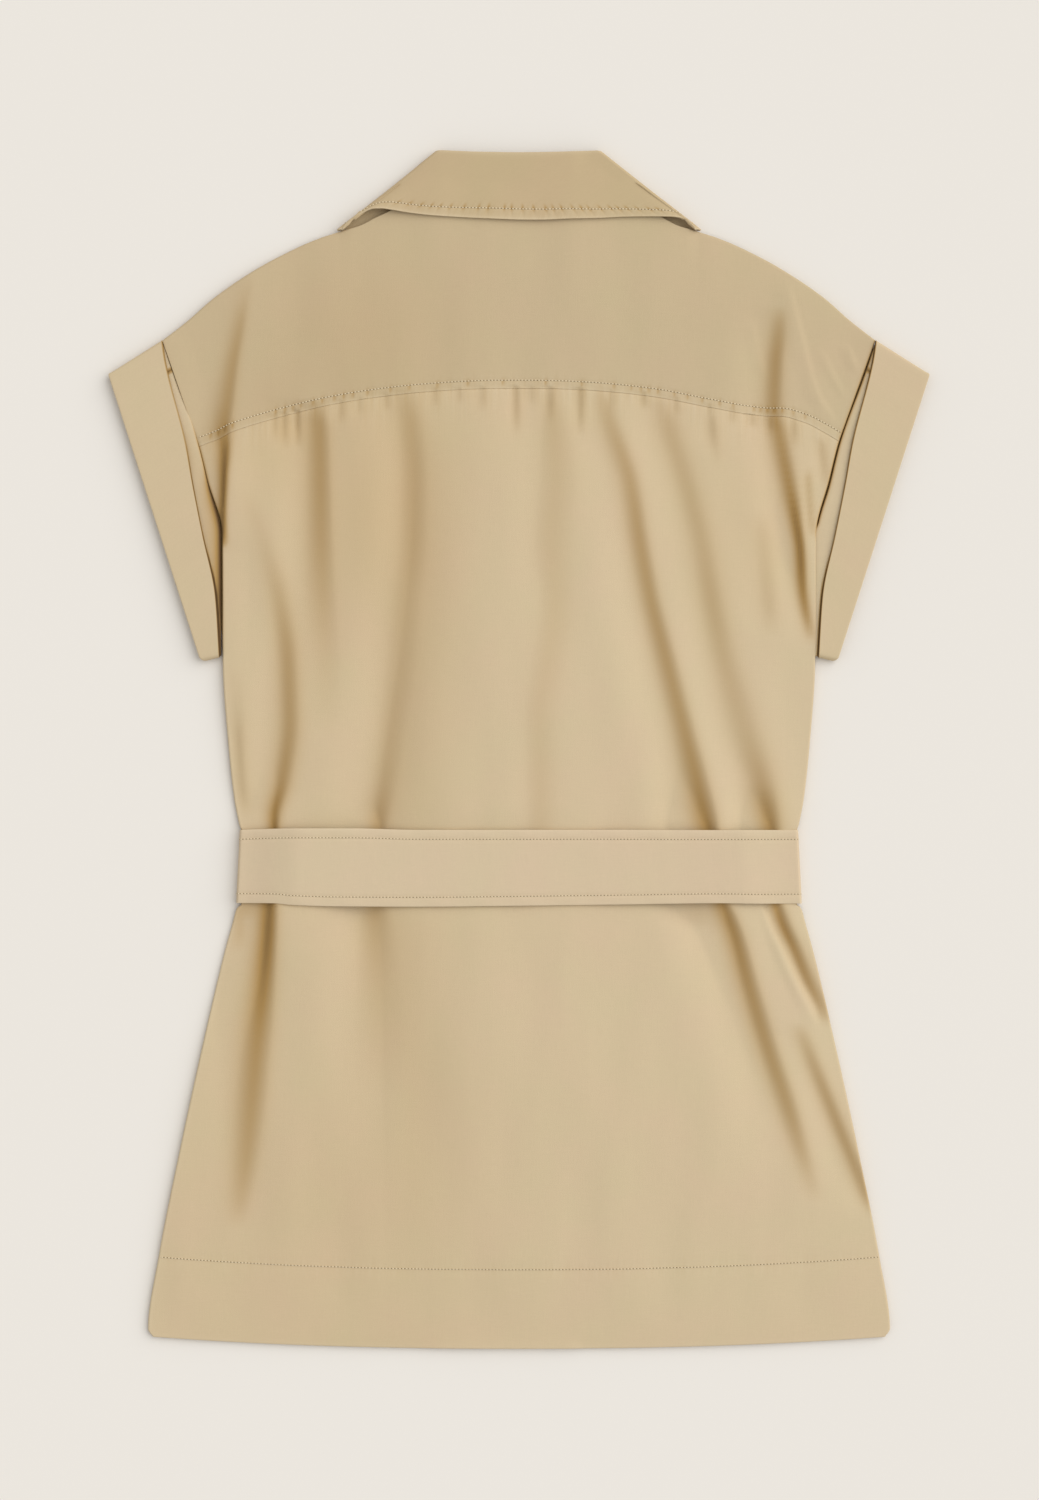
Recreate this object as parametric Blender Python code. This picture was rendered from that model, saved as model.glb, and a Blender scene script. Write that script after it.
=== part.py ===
"""Belted trench coat with short turned-up sleeves, laid out flat on its front with its back uppermost.

Metres, +Z up. The coat lies on z = 0 with its collar towards +Y and its hem towards -Y. Left and right
are the wearer's, so the left side is at -X when the coat is seen from above.
"""

import math
from collections import namedtuple

import bmesh
import bpy
import numpy as np
from mathutils import Vector

# Cloth, and how its layers stack
CLOTH = 0.0012
SEAM_GAP = 0.0003
SEAM_CLEAR = 0.0040  # margin round a piece before another is lifted over it
LAYER = CLOTH + SEAM_GAP
BELT_WALL = 0.0015
BELT_LAYER = BELT_WALL + SEAM_GAP
LIE_FLAT = CLOTH + LAYER  # top of the back where it rests on one layer of the front

# Length from the fold of the collar to the hem, with the origin half way
LENGTH = 0.898
FOLD_Y = LENGTH / 2
HEM_CORNER_Y = -0.4400

# Half of the coat's outline from the hem up to the shoulder tip. crown is how far the row drops from its
# side to the centre back, and row numbers the grid rows of the back panel.
OutlineRow = namedtuple("OutlineRow", "y half_width crown row")
OUTLINE = (
    OutlineRow(HEM_CORNER_Y, 0.2745, 0.0089, 0),
    OutlineRow(-0.4340, 0.2780, 0.0089, 1),
    OutlineRow(-0.3800, 0.2701, 0.0090, 4),
    OutlineRow(-0.3004, 0.2543, 0.0060, 8),
    OutlineRow(-0.2254, 0.2380, 0.0035, 13),
    OutlineRow(-0.1504, 0.2205, 0.0010, 18),
    OutlineRow(-0.1195, 0.2122, 0.0000, 21),
    OutlineRow(-0.1165, 0.2078, 0.0000, 22),
    OutlineRow(-0.0590, 0.2052, 0.0000, 24),
    OutlineRow(-0.0560, 0.2085, 0.0000, 25),
    OutlineRow(-0.0004, 0.2168, -0.0020, 29),
    OutlineRow(0.0670, 0.2220, -0.0060, 34),
    OutlineRow(0.1600, 0.2224, -0.0180, 41),
    OutlineRow(0.2000, 0.2325, -0.0300, 44),
    OutlineRow(0.2284, 0.2396, -0.0412, 47),
    OutlineRow(0.3064, 0.2670, -0.0412, 52),
)
YOKE_SEAM = OUTLINE[-2]
SHOULDER_TIP = OUTLINE[-1]
CROWN_POWER = 2.3

# Outline of the top: the fold of the collar, its slanted side, then the shoulder
TopRow = namedtuple("TopRow", "x y")
TOP_OUTLINE = (
    TopRow(0.0000, FOLD_Y),
    TopRow(0.0578, FOLD_Y),
    TopRow(0.1253, 0.4001),
    TopRow(0.1340, 0.3880),
    TopRow(0.1520, 0.3821),
    TopRow(0.1840, 0.3671),
    TopRow(0.2090, 0.3521),
    TopRow(0.2300, 0.3371),
    TopRow(0.2470, 0.3221),
    TopRow(SHOULDER_TIP.half_width, SHOULDER_TIP.y),
)

# Upper edge of the yoke: the neck seam under the collar, then the shoulder
NECK_Y = 0.4120
YOKE_TOP = (
    TopRow(0.0000, NECK_Y),
    TopRow(0.0800, 0.4085),
    TopRow(0.1050, 0.3990),
    TopRow(0.1200, 0.3915),
) + TOP_OUTLINE[3:]

# How high the back is puffed up over the front along its length. edge_rise is what is left at the sides.
LoftRow = namedtuple("LoftRow", "y loft edge_rise")
LOFT = (
    LoftRow(-0.4490, 0.0006, 0.0000),
    LoftRow(-0.4360, 0.0020, 0.0003),
    LoftRow(-0.3800, 0.0050, 0.0005),
    LoftRow(-0.3000, 0.0066, 0.0010),
    LoftRow(-0.2250, 0.0072, 0.0010),
    LoftRow(-0.1195, 0.0066, 0.0008),
    LoftRow(-0.0877, 0.0056, 0.0004),
    LoftRow(-0.0560, 0.0066, 0.0008),
    LoftRow(0.0000, 0.0074, 0.0012),
    LoftRow(0.0670, 0.0080, 0.0020),
    LoftRow(0.1600, 0.0080, 0.0030),
    LoftRow(0.2284, 0.0068, 0.0020),
    LoftRow(0.3000, 0.0060, 0.0010),
    LoftRow(0.3850, 0.0050, 0.0005),
    LoftRow(FOLD_Y, 0.0036, 0.0000),
)
SIDE_ROLL = 0.012  # distance in which the back rises from its sides
TOP_ROLL = 0.010  # the same at the shoulders and the collar
SOFT_CONTACT = 0.0004  # rounding where the back settles on the front

# Troughs between the puffed folds of the back, from their upper to their lower end
Fold = namedtuple("Fold", "x_top x_middle x_bottom y_top y_bottom width_top width_bottom "
                          "depth_top depth_middle depth_bottom")
FOLDS = (
    # left armhole, into the yoke
    Fold(-0.2060, -0.2240, -0.2235, 0.355, 0.155, 0.0075, 0.0060, 0.0010, 0.0055, 0.0045),
    # left side, above and below the belt
    Fold(-0.1960, -0.1735, -0.1890, 0.165, -0.075, 0.0070, 0.0060, 0.0010, 0.0040, 0.0072),
    Fold(-0.1865, -0.1965, -0.2115, -0.095, -0.370, 0.0095, 0.0110, 0.0076, 0.0052, 0.0008),
    # left shoulder blade
    Fold(-0.1535, -0.1478, -0.1495, 0.270, 0.040, 0.0070, 0.0080, 0.0042, 0.0050, 0.0010),
    # left of the centre, above and below the belt
    Fold(-0.0815, -0.0845, -0.1100, 0.275, -0.080, 0.0085, 0.0095, 0.0030, 0.0045, 0.0052),
    Fold(-0.1075, -0.1062, -0.1085, -0.095, -0.235, 0.0110, 0.0140, 0.0046, 0.0030, 0.0008),
    # centre, broad and shallow
    Fold(0.0245, 0.0195, 0.0125, 0.275, -0.080, 0.0130, 0.0140, 0.0018, 0.0024, 0.0020),
    # long slanting fold right of the centre, above and below the belt
    Fold(0.0570, 0.1040, 0.1465, 0.272, -0.080, 0.0070, 0.0070, 0.0036, 0.0052, 0.0076),
    Fold(0.1480, 0.1878, 0.2325, -0.095, -0.370, 0.0075, 0.0110, 0.0080, 0.0062, 0.0010),
    # second slanting fold, above and below the belt
    Fold(0.1060, 0.1495, 0.1935, 0.262, -0.080, 0.0080, 0.0080, 0.0026, 0.0040, 0.0072),
    Fold(0.1880, 0.2065, 0.2335, -0.095, -0.206, 0.0070, 0.0070, 0.0076, 0.0060, 0.0030),
    # right edge of the skirt
    Fold(0.2060, 0.2348, 0.2640, -0.200, -0.345, 0.0060, 0.0060, 0.0020, 0.0035, 0.0015),
    # right armhole, into the yoke
    Fold(0.1935, 0.1975, 0.2195, 0.355, 0.070, 0.0070, 0.0060, 0.0020, 0.0058, 0.0035),
    # short gathers below the yoke seam
    Fold(-0.1730, -0.1720, -0.1725, 0.268, 0.225, 0.0050, 0.0055, 0.0012, 0.0012, 0.0004),
    Fold(-0.0020, -0.0015, -0.0020, 0.278, 0.228, 0.0050, 0.0055, 0.0014, 0.0012, 0.0004),
    Fold(0.0470, 0.0472, 0.0480, 0.276, 0.232, 0.0050, 0.0055, 0.0012, 0.0012, 0.0004),
    Fold(0.1390, 0.1435, 0.1490, 0.262, 0.205, 0.0050, 0.0055, 0.0012, 0.0012, 0.0004),
    Fold(0.2230, 0.2285, 0.2300, 0.245, 0.190, 0.0050, 0.0050, 0.0012, 0.0014, 0.0006),
)
FOLD_FADE = 0.16  # share of a fold's length in which it runs out at each end
FOLD_SHOULDER = 0.30  # how much the cloth swells beside a trough

# Fronts: they lap at the centre, right over left, below a V neck
FRONT_LAP = 0.020  # how far each front passes the centre
LAP_SETTLE = 0.035  # length in which the upper front settles back beside the lap
NECK_BREAK_Y = 0.240
NECK_POINT = TopRow(0.1050, 0.4040)
FRONT_TOP_Y = 0.3975
FRONT_COLUMNS = 8
FrontRow = namedtuple("FrontRow", "y row")
FRONT_ROWS = (
    FrontRow(HEM_CORNER_Y, 0),
    FrontRow(-0.4340, 1),
    FrontRow(-0.3800, 3),
    FrontRow(-0.1504, 8),
    FrontRow(-0.1195, 10),
    FrontRow(-0.1165, 11),
    FrontRow(-0.0590, 12),
    FrontRow(-0.0560, 13),
    FrontRow(-0.0250, 15),
    FrontRow(0.0670, 18),
    FrontRow(0.2284, 24),
    FrontRow(0.2600, 26),
    FrontRow(0.2830, 27),
    FrontRow(SHOULDER_TIP.y, 28),
    FrontRow(FRONT_TOP_Y, 34),
)

# Belt: its edges, its slight taper, and the lap of its ends under the front
BELT_LOW_Y = -0.1163
BELT_WIDTH = 0.0570
BELT_HALF_LOW = 0.2117
BELT_HALF_HIGH = 0.2090
BELT_LAP_FROM = -0.070
BELT_LAP_TO = 0.020
BELT_LAP_RISE = 0.030  # length in which the upper end climbs on the lower one
BELT_BRIDGE = 0.012  # reach within which the belt spans a trough
BELT_COVER = 0.018  # length in which the fronts settle back on the floor beside the belt
BELT_RUN_STEPS = 40
BELT_FLOOR_STEPS = 14
BEND_STEPS = 6

# Collar fall: the leaf on the back and its two plain leaves under the fronts
COLLAR_EDGE_Y = 0.3964
COLLAR_EDGE_LIFT = 0.0022  # how much higher its edge lies at its ends
COLLAR_TIP = TopRow(0.1325, 0.3908)
COLLAR_FOLD_HALF = TOP_OUTLINE[1].x
COLLAR_FRONT_ROLL = TopRow(0.0150, 0.3000)
COLLAR_FRONT_POINT = TopRow(0.0750, 0.2870)
COLLAR_SETTLE = 0.027  # length in which the fronts settle back on the floor beside the collar
COLLAR_RUN_STEPS = 26
COLLAR_FRONT_STEPS = 5
COLLAR_ROWS = 8
COLLAR_STANDOFF = 0.0008  # how far the leaf stands off what it lies on, besides the seam gap
STAND_INSET = 0.008  # how far the ends of the stand lie inside the slanted sides
STAND_FOLD_CLEAR = 0.0035  # how far its upper edge lies below the fold of the fall

# Sleeves and their turned-up cuffs
SleeveRow = namedtuple("SleeveRow", "y armhole cuff_edge")
SLEEVE = (
    SleeveRow(SHOULDER_TIP.y, 0.2675, 0.2690),
    SleeveRow(0.2824, 0.2595, 0.2630),
    SleeveRow(0.2300, 0.2405, 0.2495),
    SleeveRow(0.1990, 0.2328, 0.2440),
    SleeveRow(0.1610, 0.2232, 0.2365),
    SleeveRow(0.1150, 0.2231, 0.2270),
    SleeveRow(0.0690, 0.2230, 0.2240),
)
HEM_SHOULDER = TopRow(0.3080, 0.2824)  # outer corner of the cuff at the shoulder side
HEM_UNDERARM = TopRow(0.2385, 0.0664)  # and at the underarm
SLEEVE_TOP = 0.0051
CUFF_TOP = SLEEVE_TOP + LAYER
CUFF_EDGE_LIFT = 0.0012  # how far the free edge of the cuff stands off the sleeve
TUBE_RUN_STEPS = 9
TUBE_CAP = 0.012  # share of the ring taken by the round of each flattened end

# Flattened tubes: hem_inset and end_inset are how far they end inside the hem and, as a share of the
# ring, inside the flattened ends. floor, inner_top and hem_top are their heights.
Tube = namedtuple("Tube", "hem_inset end_inset floor inner_top hem_top rings")
SLEEVE_TUBE = Tube(0.0020, 0.0110, LAYER, SLEEVE_TOP, SLEEVE_TOP, 3)
CUFF_TUBE = Tube(0.0, 0.0, 0.0, CUFF_TOP + CUFF_EDGE_LIFT, CUFF_TOP, 4)

BACK_COLUMNS = 54
YOKE_COLUMNS = 44
YOKE_ROWS = 9
STAND_COLUMNS = 16
STAND_ROWS = 3
WELD = 0.00001

CLOTH_COLOUR = (0.620, 0.500, 0.318, 1.0)
CLOTH_ROUGHNESS = 0.85


def smooth_curve(positions, values):
    """Return a function that runs smoothly through the values without passing them between the points."""
    place = np.asarray(positions, float)
    value = np.asarray(values, float)
    step = np.diff(place)
    rise = np.diff(value) / step
    slope = np.zeros_like(value)
    slope[0], slope[-1] = rise[0], rise[-1]
    for k in range(1, len(value) - 1):
        if rise[k - 1] * rise[k] > 0:
            slope[k] = 2 * rise[k - 1] * rise[k] / (rise[k - 1] + rise[k])

    def at(x):
        x = min(max(x, place[0]), place[-1])
        k = min(int(np.searchsorted(place, x, side="right")) - 1, len(step) - 1)
        t = (x - place[k]) / step[k]
        start = (1 + 2 * t) * (1 - t) ** 2 * value[k] + t * (1 - t) ** 2 * step[k] * slope[k]
        end = t * t * (3 - 2 * t) * value[k + 1] - t * t * (1 - t) * step[k] * slope[k + 1]
        return float(start + end)

    return at


def column(table, position, value):
    """Return the smooth curve of one named column of a table over another."""
    rows = sorted(table, key=lambda row: getattr(row, position))
    return smooth_curve([getattr(row, position) for row in rows], [getattr(row, value) for row in rows])


half_width = column(OUTLINE, "y", "half_width")
crown = column(OUTLINE[:-1], "y", "crown")
loft = column(LOFT, "y", "loft")
edge_rise = column(LOFT, "y", "edge_rise")
yoke_top = column(YOKE_TOP, "x", "y")
shoulder_width = column(YOKE_TOP[2:], "y", "x")
armhole = column(SLEEVE, "y", "armhole")
cuff_edge = column(SLEEVE, "y", "cuff_edge")


def mix(a, b, share):
    """Return the value that lies the given share of the way from a to b."""
    return a + (b - a) * share


def mix_points(a, b, share):
    """Return the point (x, y) that lies the given share of the way from a to b."""
    return mix(a[0], b[0], share), mix(a[1], b[1], share)


def ease(start, end, x):
    """Return 0 at start and 1 at end, with a smooth step between them."""
    t = min(max((x - start) / (end - start), 0.0), 1.0)
    return t * t * (3 - 2 * t)


def bow(first, middle, last, share):
    """Return the parabola through three values at shares 0, a half and 1."""
    return (first * (1 - share) * (1 - 2 * share) + middle * 4 * share * (1 - share)
            + last * share * (2 * share - 1))


def top_outline(x):
    """Return how far up the outline of collar and shoulder reaches at x."""
    return float(np.interp(abs(x), [row.x for row in TOP_OUTLINE], [row.y for row in TOP_OUTLINE]))


def fold_depth(x, y):
    """Return how far the folds sink the back at (x, y), less where they swell it."""
    depth = 0.0
    for fold in FOLDS:
        share = (fold.y_top - y) / (fold.y_top - fold.y_bottom)
        if not 0 < share < 1:
            continue
        centre = bow(fold.x_top, fold.x_middle, fold.x_bottom, share)
        across = (x - centre) / mix(fold.width_top, fold.width_bottom, share)
        sink = bow(fold.depth_top, fold.depth_middle, fold.depth_bottom, share)
        fade = ease(0, FOLD_FADE, share) * ease(0, FOLD_FADE, 1 - share)
        depth += fade * sink * (1 - FOLD_SHOULDER * across ** 2) * math.exp(-across ** 2 / 2)
    return depth


def belt_under(x, y):
    """Return how far the belt lifts the fronts off the floor at (x, y)."""
    belt_high_y = BELT_LOW_Y + BELT_WIDTH
    near = (ease(BELT_LOW_Y - BELT_COVER, BELT_LOW_Y, y)
            * ease(belt_high_y + BELT_COVER, belt_high_y, y))
    lap = (ease(BELT_LAP_FROM - 3 * BELT_LAP_RISE, BELT_LAP_FROM - BELT_LAP_RISE, x)
           * ease(BELT_LAP_TO + 2 * BELT_LAP_RISE, BELT_LAP_TO + BELT_LAP_RISE / 2, x))
    return near * BELT_LAYER * (1 + lap)


def collar_under(x, y):
    """Return how far the front leaves of the collar lift the fronts off the floor at (x, y)."""
    past_point = ease(COLLAR_FRONT_POINT.y - COLLAR_SETTLE, COLLAR_FRONT_POINT.y - SEAM_CLEAR, y)
    inside_tip = ease(COLLAR_TIP.x + COLLAR_SETTLE * 2, COLLAR_TIP.x + COLLAR_SETTLE, abs(x))
    return LAYER * past_point * inside_tip


def front_floor(x, y):
    """Return the underside of the lower front at (x, y)."""
    return belt_under(x, y) + collar_under(x, y)


def front_lap(x):
    """Return how far the left front is lifted where it lies on the right one."""
    return LAYER * ease(-FRONT_LAP - 2 * LAP_SETTLE, -FRONT_LAP - LAP_SETTLE, x)


def resting_height(x, y):
    """Return the lowest that the outer face of the back can lie on the fronts at (x, y)."""
    lapped = front_lap(x) * ease(FRONT_LAP + LAP_SETTLE, FRONT_LAP + LAP_SETTLE / 2, x)
    return front_floor(x, y) + lapped + LIE_FLAT


def back_height(x, y):
    """Return the height of the outer face of the back and yoke at (x, y)."""
    side = max(half_width(y) - abs(x), 0.0) if y < SHOULDER_TIP.y else SHOULDER_TIP.half_width
    top = max(top_outline(x) - y, 0.0)
    puff = (1 - math.exp(-side / SIDE_ROLL)) * (1 - math.exp(-top / TOP_ROLL))
    level = LIE_FLAT + edge_rise(y) + loft(y) * puff - fold_depth(x, y)
    rest = resting_height(x, y)
    return (level + rest + math.hypot(level - rest, SOFT_CONTACT)) / 2


def cloth_material(name):
    """Return a matt cloth material of its own for one piece."""
    material = bpy.data.materials.new(name)
    material.use_nodes = True
    shader = material.node_tree.nodes["Principled BSDF"]
    shader.inputs["Base Color"].default_value = CLOTH_COLOUR
    shader.inputs["Roughness"].default_value = CLOTH_ROUGHNESS
    shader.inputs["Metallic"].default_value = 0.0
    return material


def cloth_piece(name, columns, rows, place, wall=CLOTH, closed=False, flip=False):
    """Make one piece of cloth: a grid whose outer face is set by place(u, v), thickened inwards."""
    grid = bmesh.new()
    bmesh.ops.create_grid(grid, x_segments=columns, y_segments=rows, size=0.5)
    for point in grid.verts:
        point.co = Vector(place(point.co.x + 0.5, point.co.y + 0.5))
    if closed:
        bmesh.ops.remove_doubles(grid, verts=grid.verts, dist=WELD)
    if flip:
        bmesh.ops.reverse_faces(grid, faces=grid.faces)
    mesh = bpy.data.meshes.new(name)
    grid.to_mesh(mesh)
    grid.free()
    mesh.shade_smooth()
    piece = bpy.data.objects.new(name, mesh)
    piece.data.materials.append(cloth_material(name + "_cloth"))
    bpy.context.collection.objects.link(piece)
    thicken = piece.modifiers.new("Wall", "SOLIDIFY")
    thicken.thickness = wall
    thicken.offset = -1.0
    thicken.use_even_offset = True
    thicken.use_quality_normals = True
    return piece


def back_panel():
    """Make the back from the yoke seam to the hem."""
    rows = [row.row for row in OUTLINE]
    heights = [row.y for row in OUTLINE]

    def place(u, v):
        side_y = float(np.interp(v * YOKE_SEAM.row, rows, heights))
        across = 2 * u - 1
        x = across * half_width(side_y)
        y = side_y - crown(side_y) * (1 - abs(across) ** CROWN_POWER)
        return x, y, back_height(x, y)

    cloth_piece("back_panel", BACK_COLUMNS, YOKE_SEAM.row, place)


def back_yoke():
    """Make the yoke between the curved seam on the back, the neck and the shoulders."""

    def place(u, v):
        across = 2 * u - 1
        rise = -YOKE_SEAM.crown * (1 - abs(across) ** CROWN_POWER)
        seam = (across * YOKE_SEAM.half_width, YOKE_SEAM.y + rise + SEAM_GAP)
        edge_x = across * SHOULDER_TIP.half_width
        x, y = mix_points(seam, (edge_x, yoke_top(abs(edge_x))), v)
        return x, y, back_height(x, y)

    cloth_piece("back_yoke", YOKE_COLUMNS, YOKE_ROWS, place)


def front(name, side):
    """Make one front, lying face down. side is 1 at +X and -1 at -X."""
    rows = [row.row for row in FRONT_ROWS]
    heights = [row.y for row in FRONT_ROWS]

    def place(u, v):
        side_y = float(np.interp(v * rows[-1], rows, heights))
        outer = half_width(side_y) if side_y <= SHOULDER_TIP.y else shoulder_width(side_y)
        neck = max(side_y - NECK_BREAK_Y, 0.0) / (NECK_POINT.y - NECK_BREAK_Y)
        inner = mix(-FRONT_LAP, NECK_POINT.x, neck)
        across = mix(inner, outer, u)
        y = side_y - max(crown(side_y), 0.0) * (1 - abs(across / outer) ** CROWN_POWER)
        x = side * across
        lift = front_lap(x) if side < 0 else 0.0
        return x, y, front_floor(x, y) + lift

    cloth_piece(name, FRONT_COLUMNS, rows[-1], place, flip=side > 0)


def bend(radius, steps):
    """Return the (outward, height) points of a half turn from the floor up, without its two ends."""
    turns = [math.pi * (k / steps - 0.5) for k in range(1, steps)]
    return [(radius * math.cos(turn), radius * (1 + math.sin(turn))) for turn in turns]


def belt_height(x):
    """Return the height of the outer face of the belt, which spans the troughs of the back."""
    reach = np.linspace(-BELT_BRIDGE, BELT_BRIDGE, 7)
    across = np.linspace(BELT_LOW_Y, BELT_LOW_Y + BELT_WIDTH, 6)
    below = max(back_height(x + step, y) for step in reach for y in across)
    return below + BELT_LAYER


def belt_route():
    """Return the (x, z) points of the belt's outer face, from its under end round to its upper end."""
    half = (BELT_HALF_LOW + BELT_HALF_HIGH) / 2
    radius = belt_height(half) / 2
    straight = half - radius
    turn = bend(radius, BEND_STEPS)
    route = [(x, 0.0) for x in np.linspace(BELT_LAP_FROM, straight, BELT_FLOOR_STEPS)]
    route += [(straight + out, z) for out, z in turn]
    route += [(x, belt_height(x)) for x in np.linspace(straight, -straight, BELT_RUN_STEPS)]
    route += [(-straight - out, z) for out, z in reversed(turn)]
    climb = BELT_LAP_FROM - BELT_LAP_RISE
    for x in np.linspace(-straight, BELT_LAP_TO, BELT_FLOOR_STEPS):
        route.append((x, BELT_LAYER * ease(climb, BELT_LAP_FROM - SEAM_GAP, x)))
    return route


def belt():
    """Make the belt: one band round the waist, its ends lapped flat under the fronts."""
    route = belt_route()
    middle = (BELT_HALF_LOW + BELT_HALF_HIGH) / 2

    def place(u, v):
        x, z = route[round(u * (len(route) - 1))]
        taper = mix(BELT_HALF_LOW, BELT_HALF_HIGH, v) / middle
        return x * taper, BELT_LOW_Y + BELT_WIDTH * v, z

    cloth_piece("belt", len(route) - 1, 2, place, wall=BELT_WALL, flip=True)


def collar_route():
    """Return the stations of the collar fall from its left front end round the neck to its right one.

    Each station is the pair (roll, edge) of its points on the fold and on the free edge, with how far out
    and how high it lies on the bend at the side, or no bend.
    """
    stations = []
    for share in np.linspace(-1, 1, COLLAR_RUN_STEPS):
        edge_y = COLLAR_EDGE_Y + COLLAR_EDGE_LIFT * share ** 2
        edge_y = mix(edge_y, COLLAR_TIP.y, ease(0.93, 1.0, abs(share)))
        stations.append(((share * COLLAR_FOLD_HALF, FOLD_Y), (share * COLLAR_TIP.x, edge_y), None))
    side = ((COLLAR_FOLD_HALF, FOLD_Y), (COLLAR_TIP.x, COLLAR_TIP.y))
    under = [(*side, turn) for turn in reversed(bend(1.0, BEND_STEPS))]
    for share in np.linspace(0, 1, COLLAR_FRONT_STEPS):
        roll = mix_points(side[0], COLLAR_FRONT_ROLL, share)
        edge = mix_points(side[1], COLLAR_FRONT_POINT, share)
        under.append((roll, edge, (0.0, 0.0)))
    mirrored = [((-roll[0], roll[1]), (-edge[0], edge[1]), turn) for roll, edge, turn in reversed(under)]
    return mirrored + stations + under


def collar_fall():
    """Make the fall of the collar, folded over the back of the neck and round to the fronts."""
    route = collar_route()
    lift = LAYER + COLLAR_STANDOFF

    def place(u, v):
        roll, edge, turn = route[round(u * (len(route) - 1))]
        x, y = mix_points(roll, edge, v)
        if turn is None:
            return x, y, back_height(x, y) + lift
        out, up = turn
        side_x, side_y = mix_points((COLLAR_FOLD_HALF, FOLD_Y), (COLLAR_TIP.x, COLLAR_TIP.y), v)
        radius = (back_height(side_x, side_y) + lift) / 2
        return x + math.copysign(out * radius, x), y, up * radius

    cloth_piece("collar_fall", len(route) - 1, COLLAR_ROWS, place, flip=True)


def collar_stand():
    """Make the back of the collar stand, from the neck seam to just under the fold of the fall."""

    def place(u, v):
        across = 2 * u - 1
        seam = (across * (NECK_POINT.x - STAND_INSET), NECK_Y + SEAM_GAP)
        fold = (across * (COLLAR_FOLD_HALF - STAND_INSET), FOLD_Y - STAND_FOLD_CLEAR)
        x, y = mix_points(seam, fold, v)
        return x, y, back_height(x, y)

    cloth_piece("collar_stand", STAND_COLUMNS, STAND_ROWS, place)


def flat_ring():
    """Return the (along, up) points round a flattened tube, along from 0 to 1 and up from -1 to 1."""
    run = np.linspace(TUBE_CAP, 1 - TUBE_CAP, TUBE_RUN_STEPS)
    turns = [math.radians(angle) for angle in (45, 0, -45)]
    ring = [(along, 1.0) for along in run]
    ring += [(1 - TUBE_CAP * (1 - math.cos(turn)), math.sin(turn)) for turn in turns]
    ring += [(along, -1.0) for along in reversed(run)]
    ring += [(TUBE_CAP * (1 - math.cos(turn)), -math.sin(turn)) for turn in turns]
    return ring + ring[:1]


def sleeve_tube(name, side, inner, sizes):
    """Make a flattened tube between its inner edge, a curve over y, and the hem of the sleeve."""
    ring = flat_ring()

    def place(u, v):
        along, up = ring[round(u * (len(ring) - 1))]
        along = mix(sizes.end_inset, 1 - sizes.end_inset, along)
        edge_y = mix(SLEEVE[0].y, SLEEVE[-1].y, along)
        hem_x, hem_y = mix_points(HEM_SHOULDER, HEM_UNDERARM, along)
        x, y = mix_points((inner(edge_y), edge_y), (hem_x - sizes.hem_inset, hem_y), v)
        half = (mix(sizes.inner_top, sizes.hem_top, v) - sizes.floor) / 2
        return side * x, y, sizes.floor + half * (1 + up)

    cloth_piece(name, len(ring) - 1, sizes.rings, place, closed=True, flip=side < 0)


def main():
    """Build the coat from nothing."""
    for thing in list(bpy.data.objects):
        bpy.data.objects.remove(thing, do_unlink=True)
    back_panel()
    back_yoke()
    front("front_right", 1)
    front("front_left", -1)
    collar_fall()
    collar_stand()
    for name, side in (("right", 1), ("left", -1)):
        sleeve_tube("sleeve_" + name, side, armhole, SLEEVE_TUBE)
        sleeve_tube("cuff_" + name, side, cuff_edge, CUFF_TUBE)
    belt()


main()
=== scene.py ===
"""Dresses the belted trench coat: it lies on its front, back up, with its collar towards +Y.

Metres, +Z up. Left and right are the wearer's, so the left side is at -X. Tables of creases and seams are
in millimetres, because they were measured that way.
"""

import logging
import math
from dataclasses import dataclass, field
from enum import Enum
from typing import ClassVar, Iterable, NamedTuple, Sequence

import bmesh
import bpy
import numpy as np
from mathutils import Matrix, Vector


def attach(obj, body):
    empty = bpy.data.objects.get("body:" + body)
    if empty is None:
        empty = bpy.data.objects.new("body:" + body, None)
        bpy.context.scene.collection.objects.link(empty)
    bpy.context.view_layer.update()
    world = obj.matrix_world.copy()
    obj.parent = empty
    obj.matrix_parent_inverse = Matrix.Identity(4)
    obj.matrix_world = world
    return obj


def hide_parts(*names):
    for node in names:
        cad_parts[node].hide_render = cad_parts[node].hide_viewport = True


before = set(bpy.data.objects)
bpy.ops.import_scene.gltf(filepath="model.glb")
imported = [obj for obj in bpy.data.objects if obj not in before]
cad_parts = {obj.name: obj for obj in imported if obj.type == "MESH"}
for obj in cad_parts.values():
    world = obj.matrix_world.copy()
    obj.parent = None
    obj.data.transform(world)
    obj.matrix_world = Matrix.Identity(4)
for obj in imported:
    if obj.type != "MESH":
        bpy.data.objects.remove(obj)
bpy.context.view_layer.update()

Array = np.ndarray
Colour = tuple[float, float, float]
MM = 0.001
log = logging.getLogger("coat")


def mix(a: Array | float, b: Array | float, share: Array | float) -> Array | float:
    """Return the value that lies the given share of the way from a to b."""
    return a + (b - a) * share


def ease(start: float, end: float, at: Array) -> Array:
    """Step smoothly from 0 at start to 1 at end.

    Args:
        start: Where the step begins.
        end: Where the step ends.
        at: The places to read it at.

    Returns:
        The step's value at each place.
    """
    t = np.clip((np.asarray(at, float) - start) / (end - start), 0.0, 1.0)
    return t * t * (3 - 2 * t)


def quarter_round(distance: Array, radius: float) -> Array:
    """Return the rise from 0 to 1 of a quarter round that starts upright at distance 0."""
    share = np.clip(np.asarray(distance, float) / radius, 0.0, 1.0)
    return np.sqrt(1 - (1 - share) ** 2)


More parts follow.
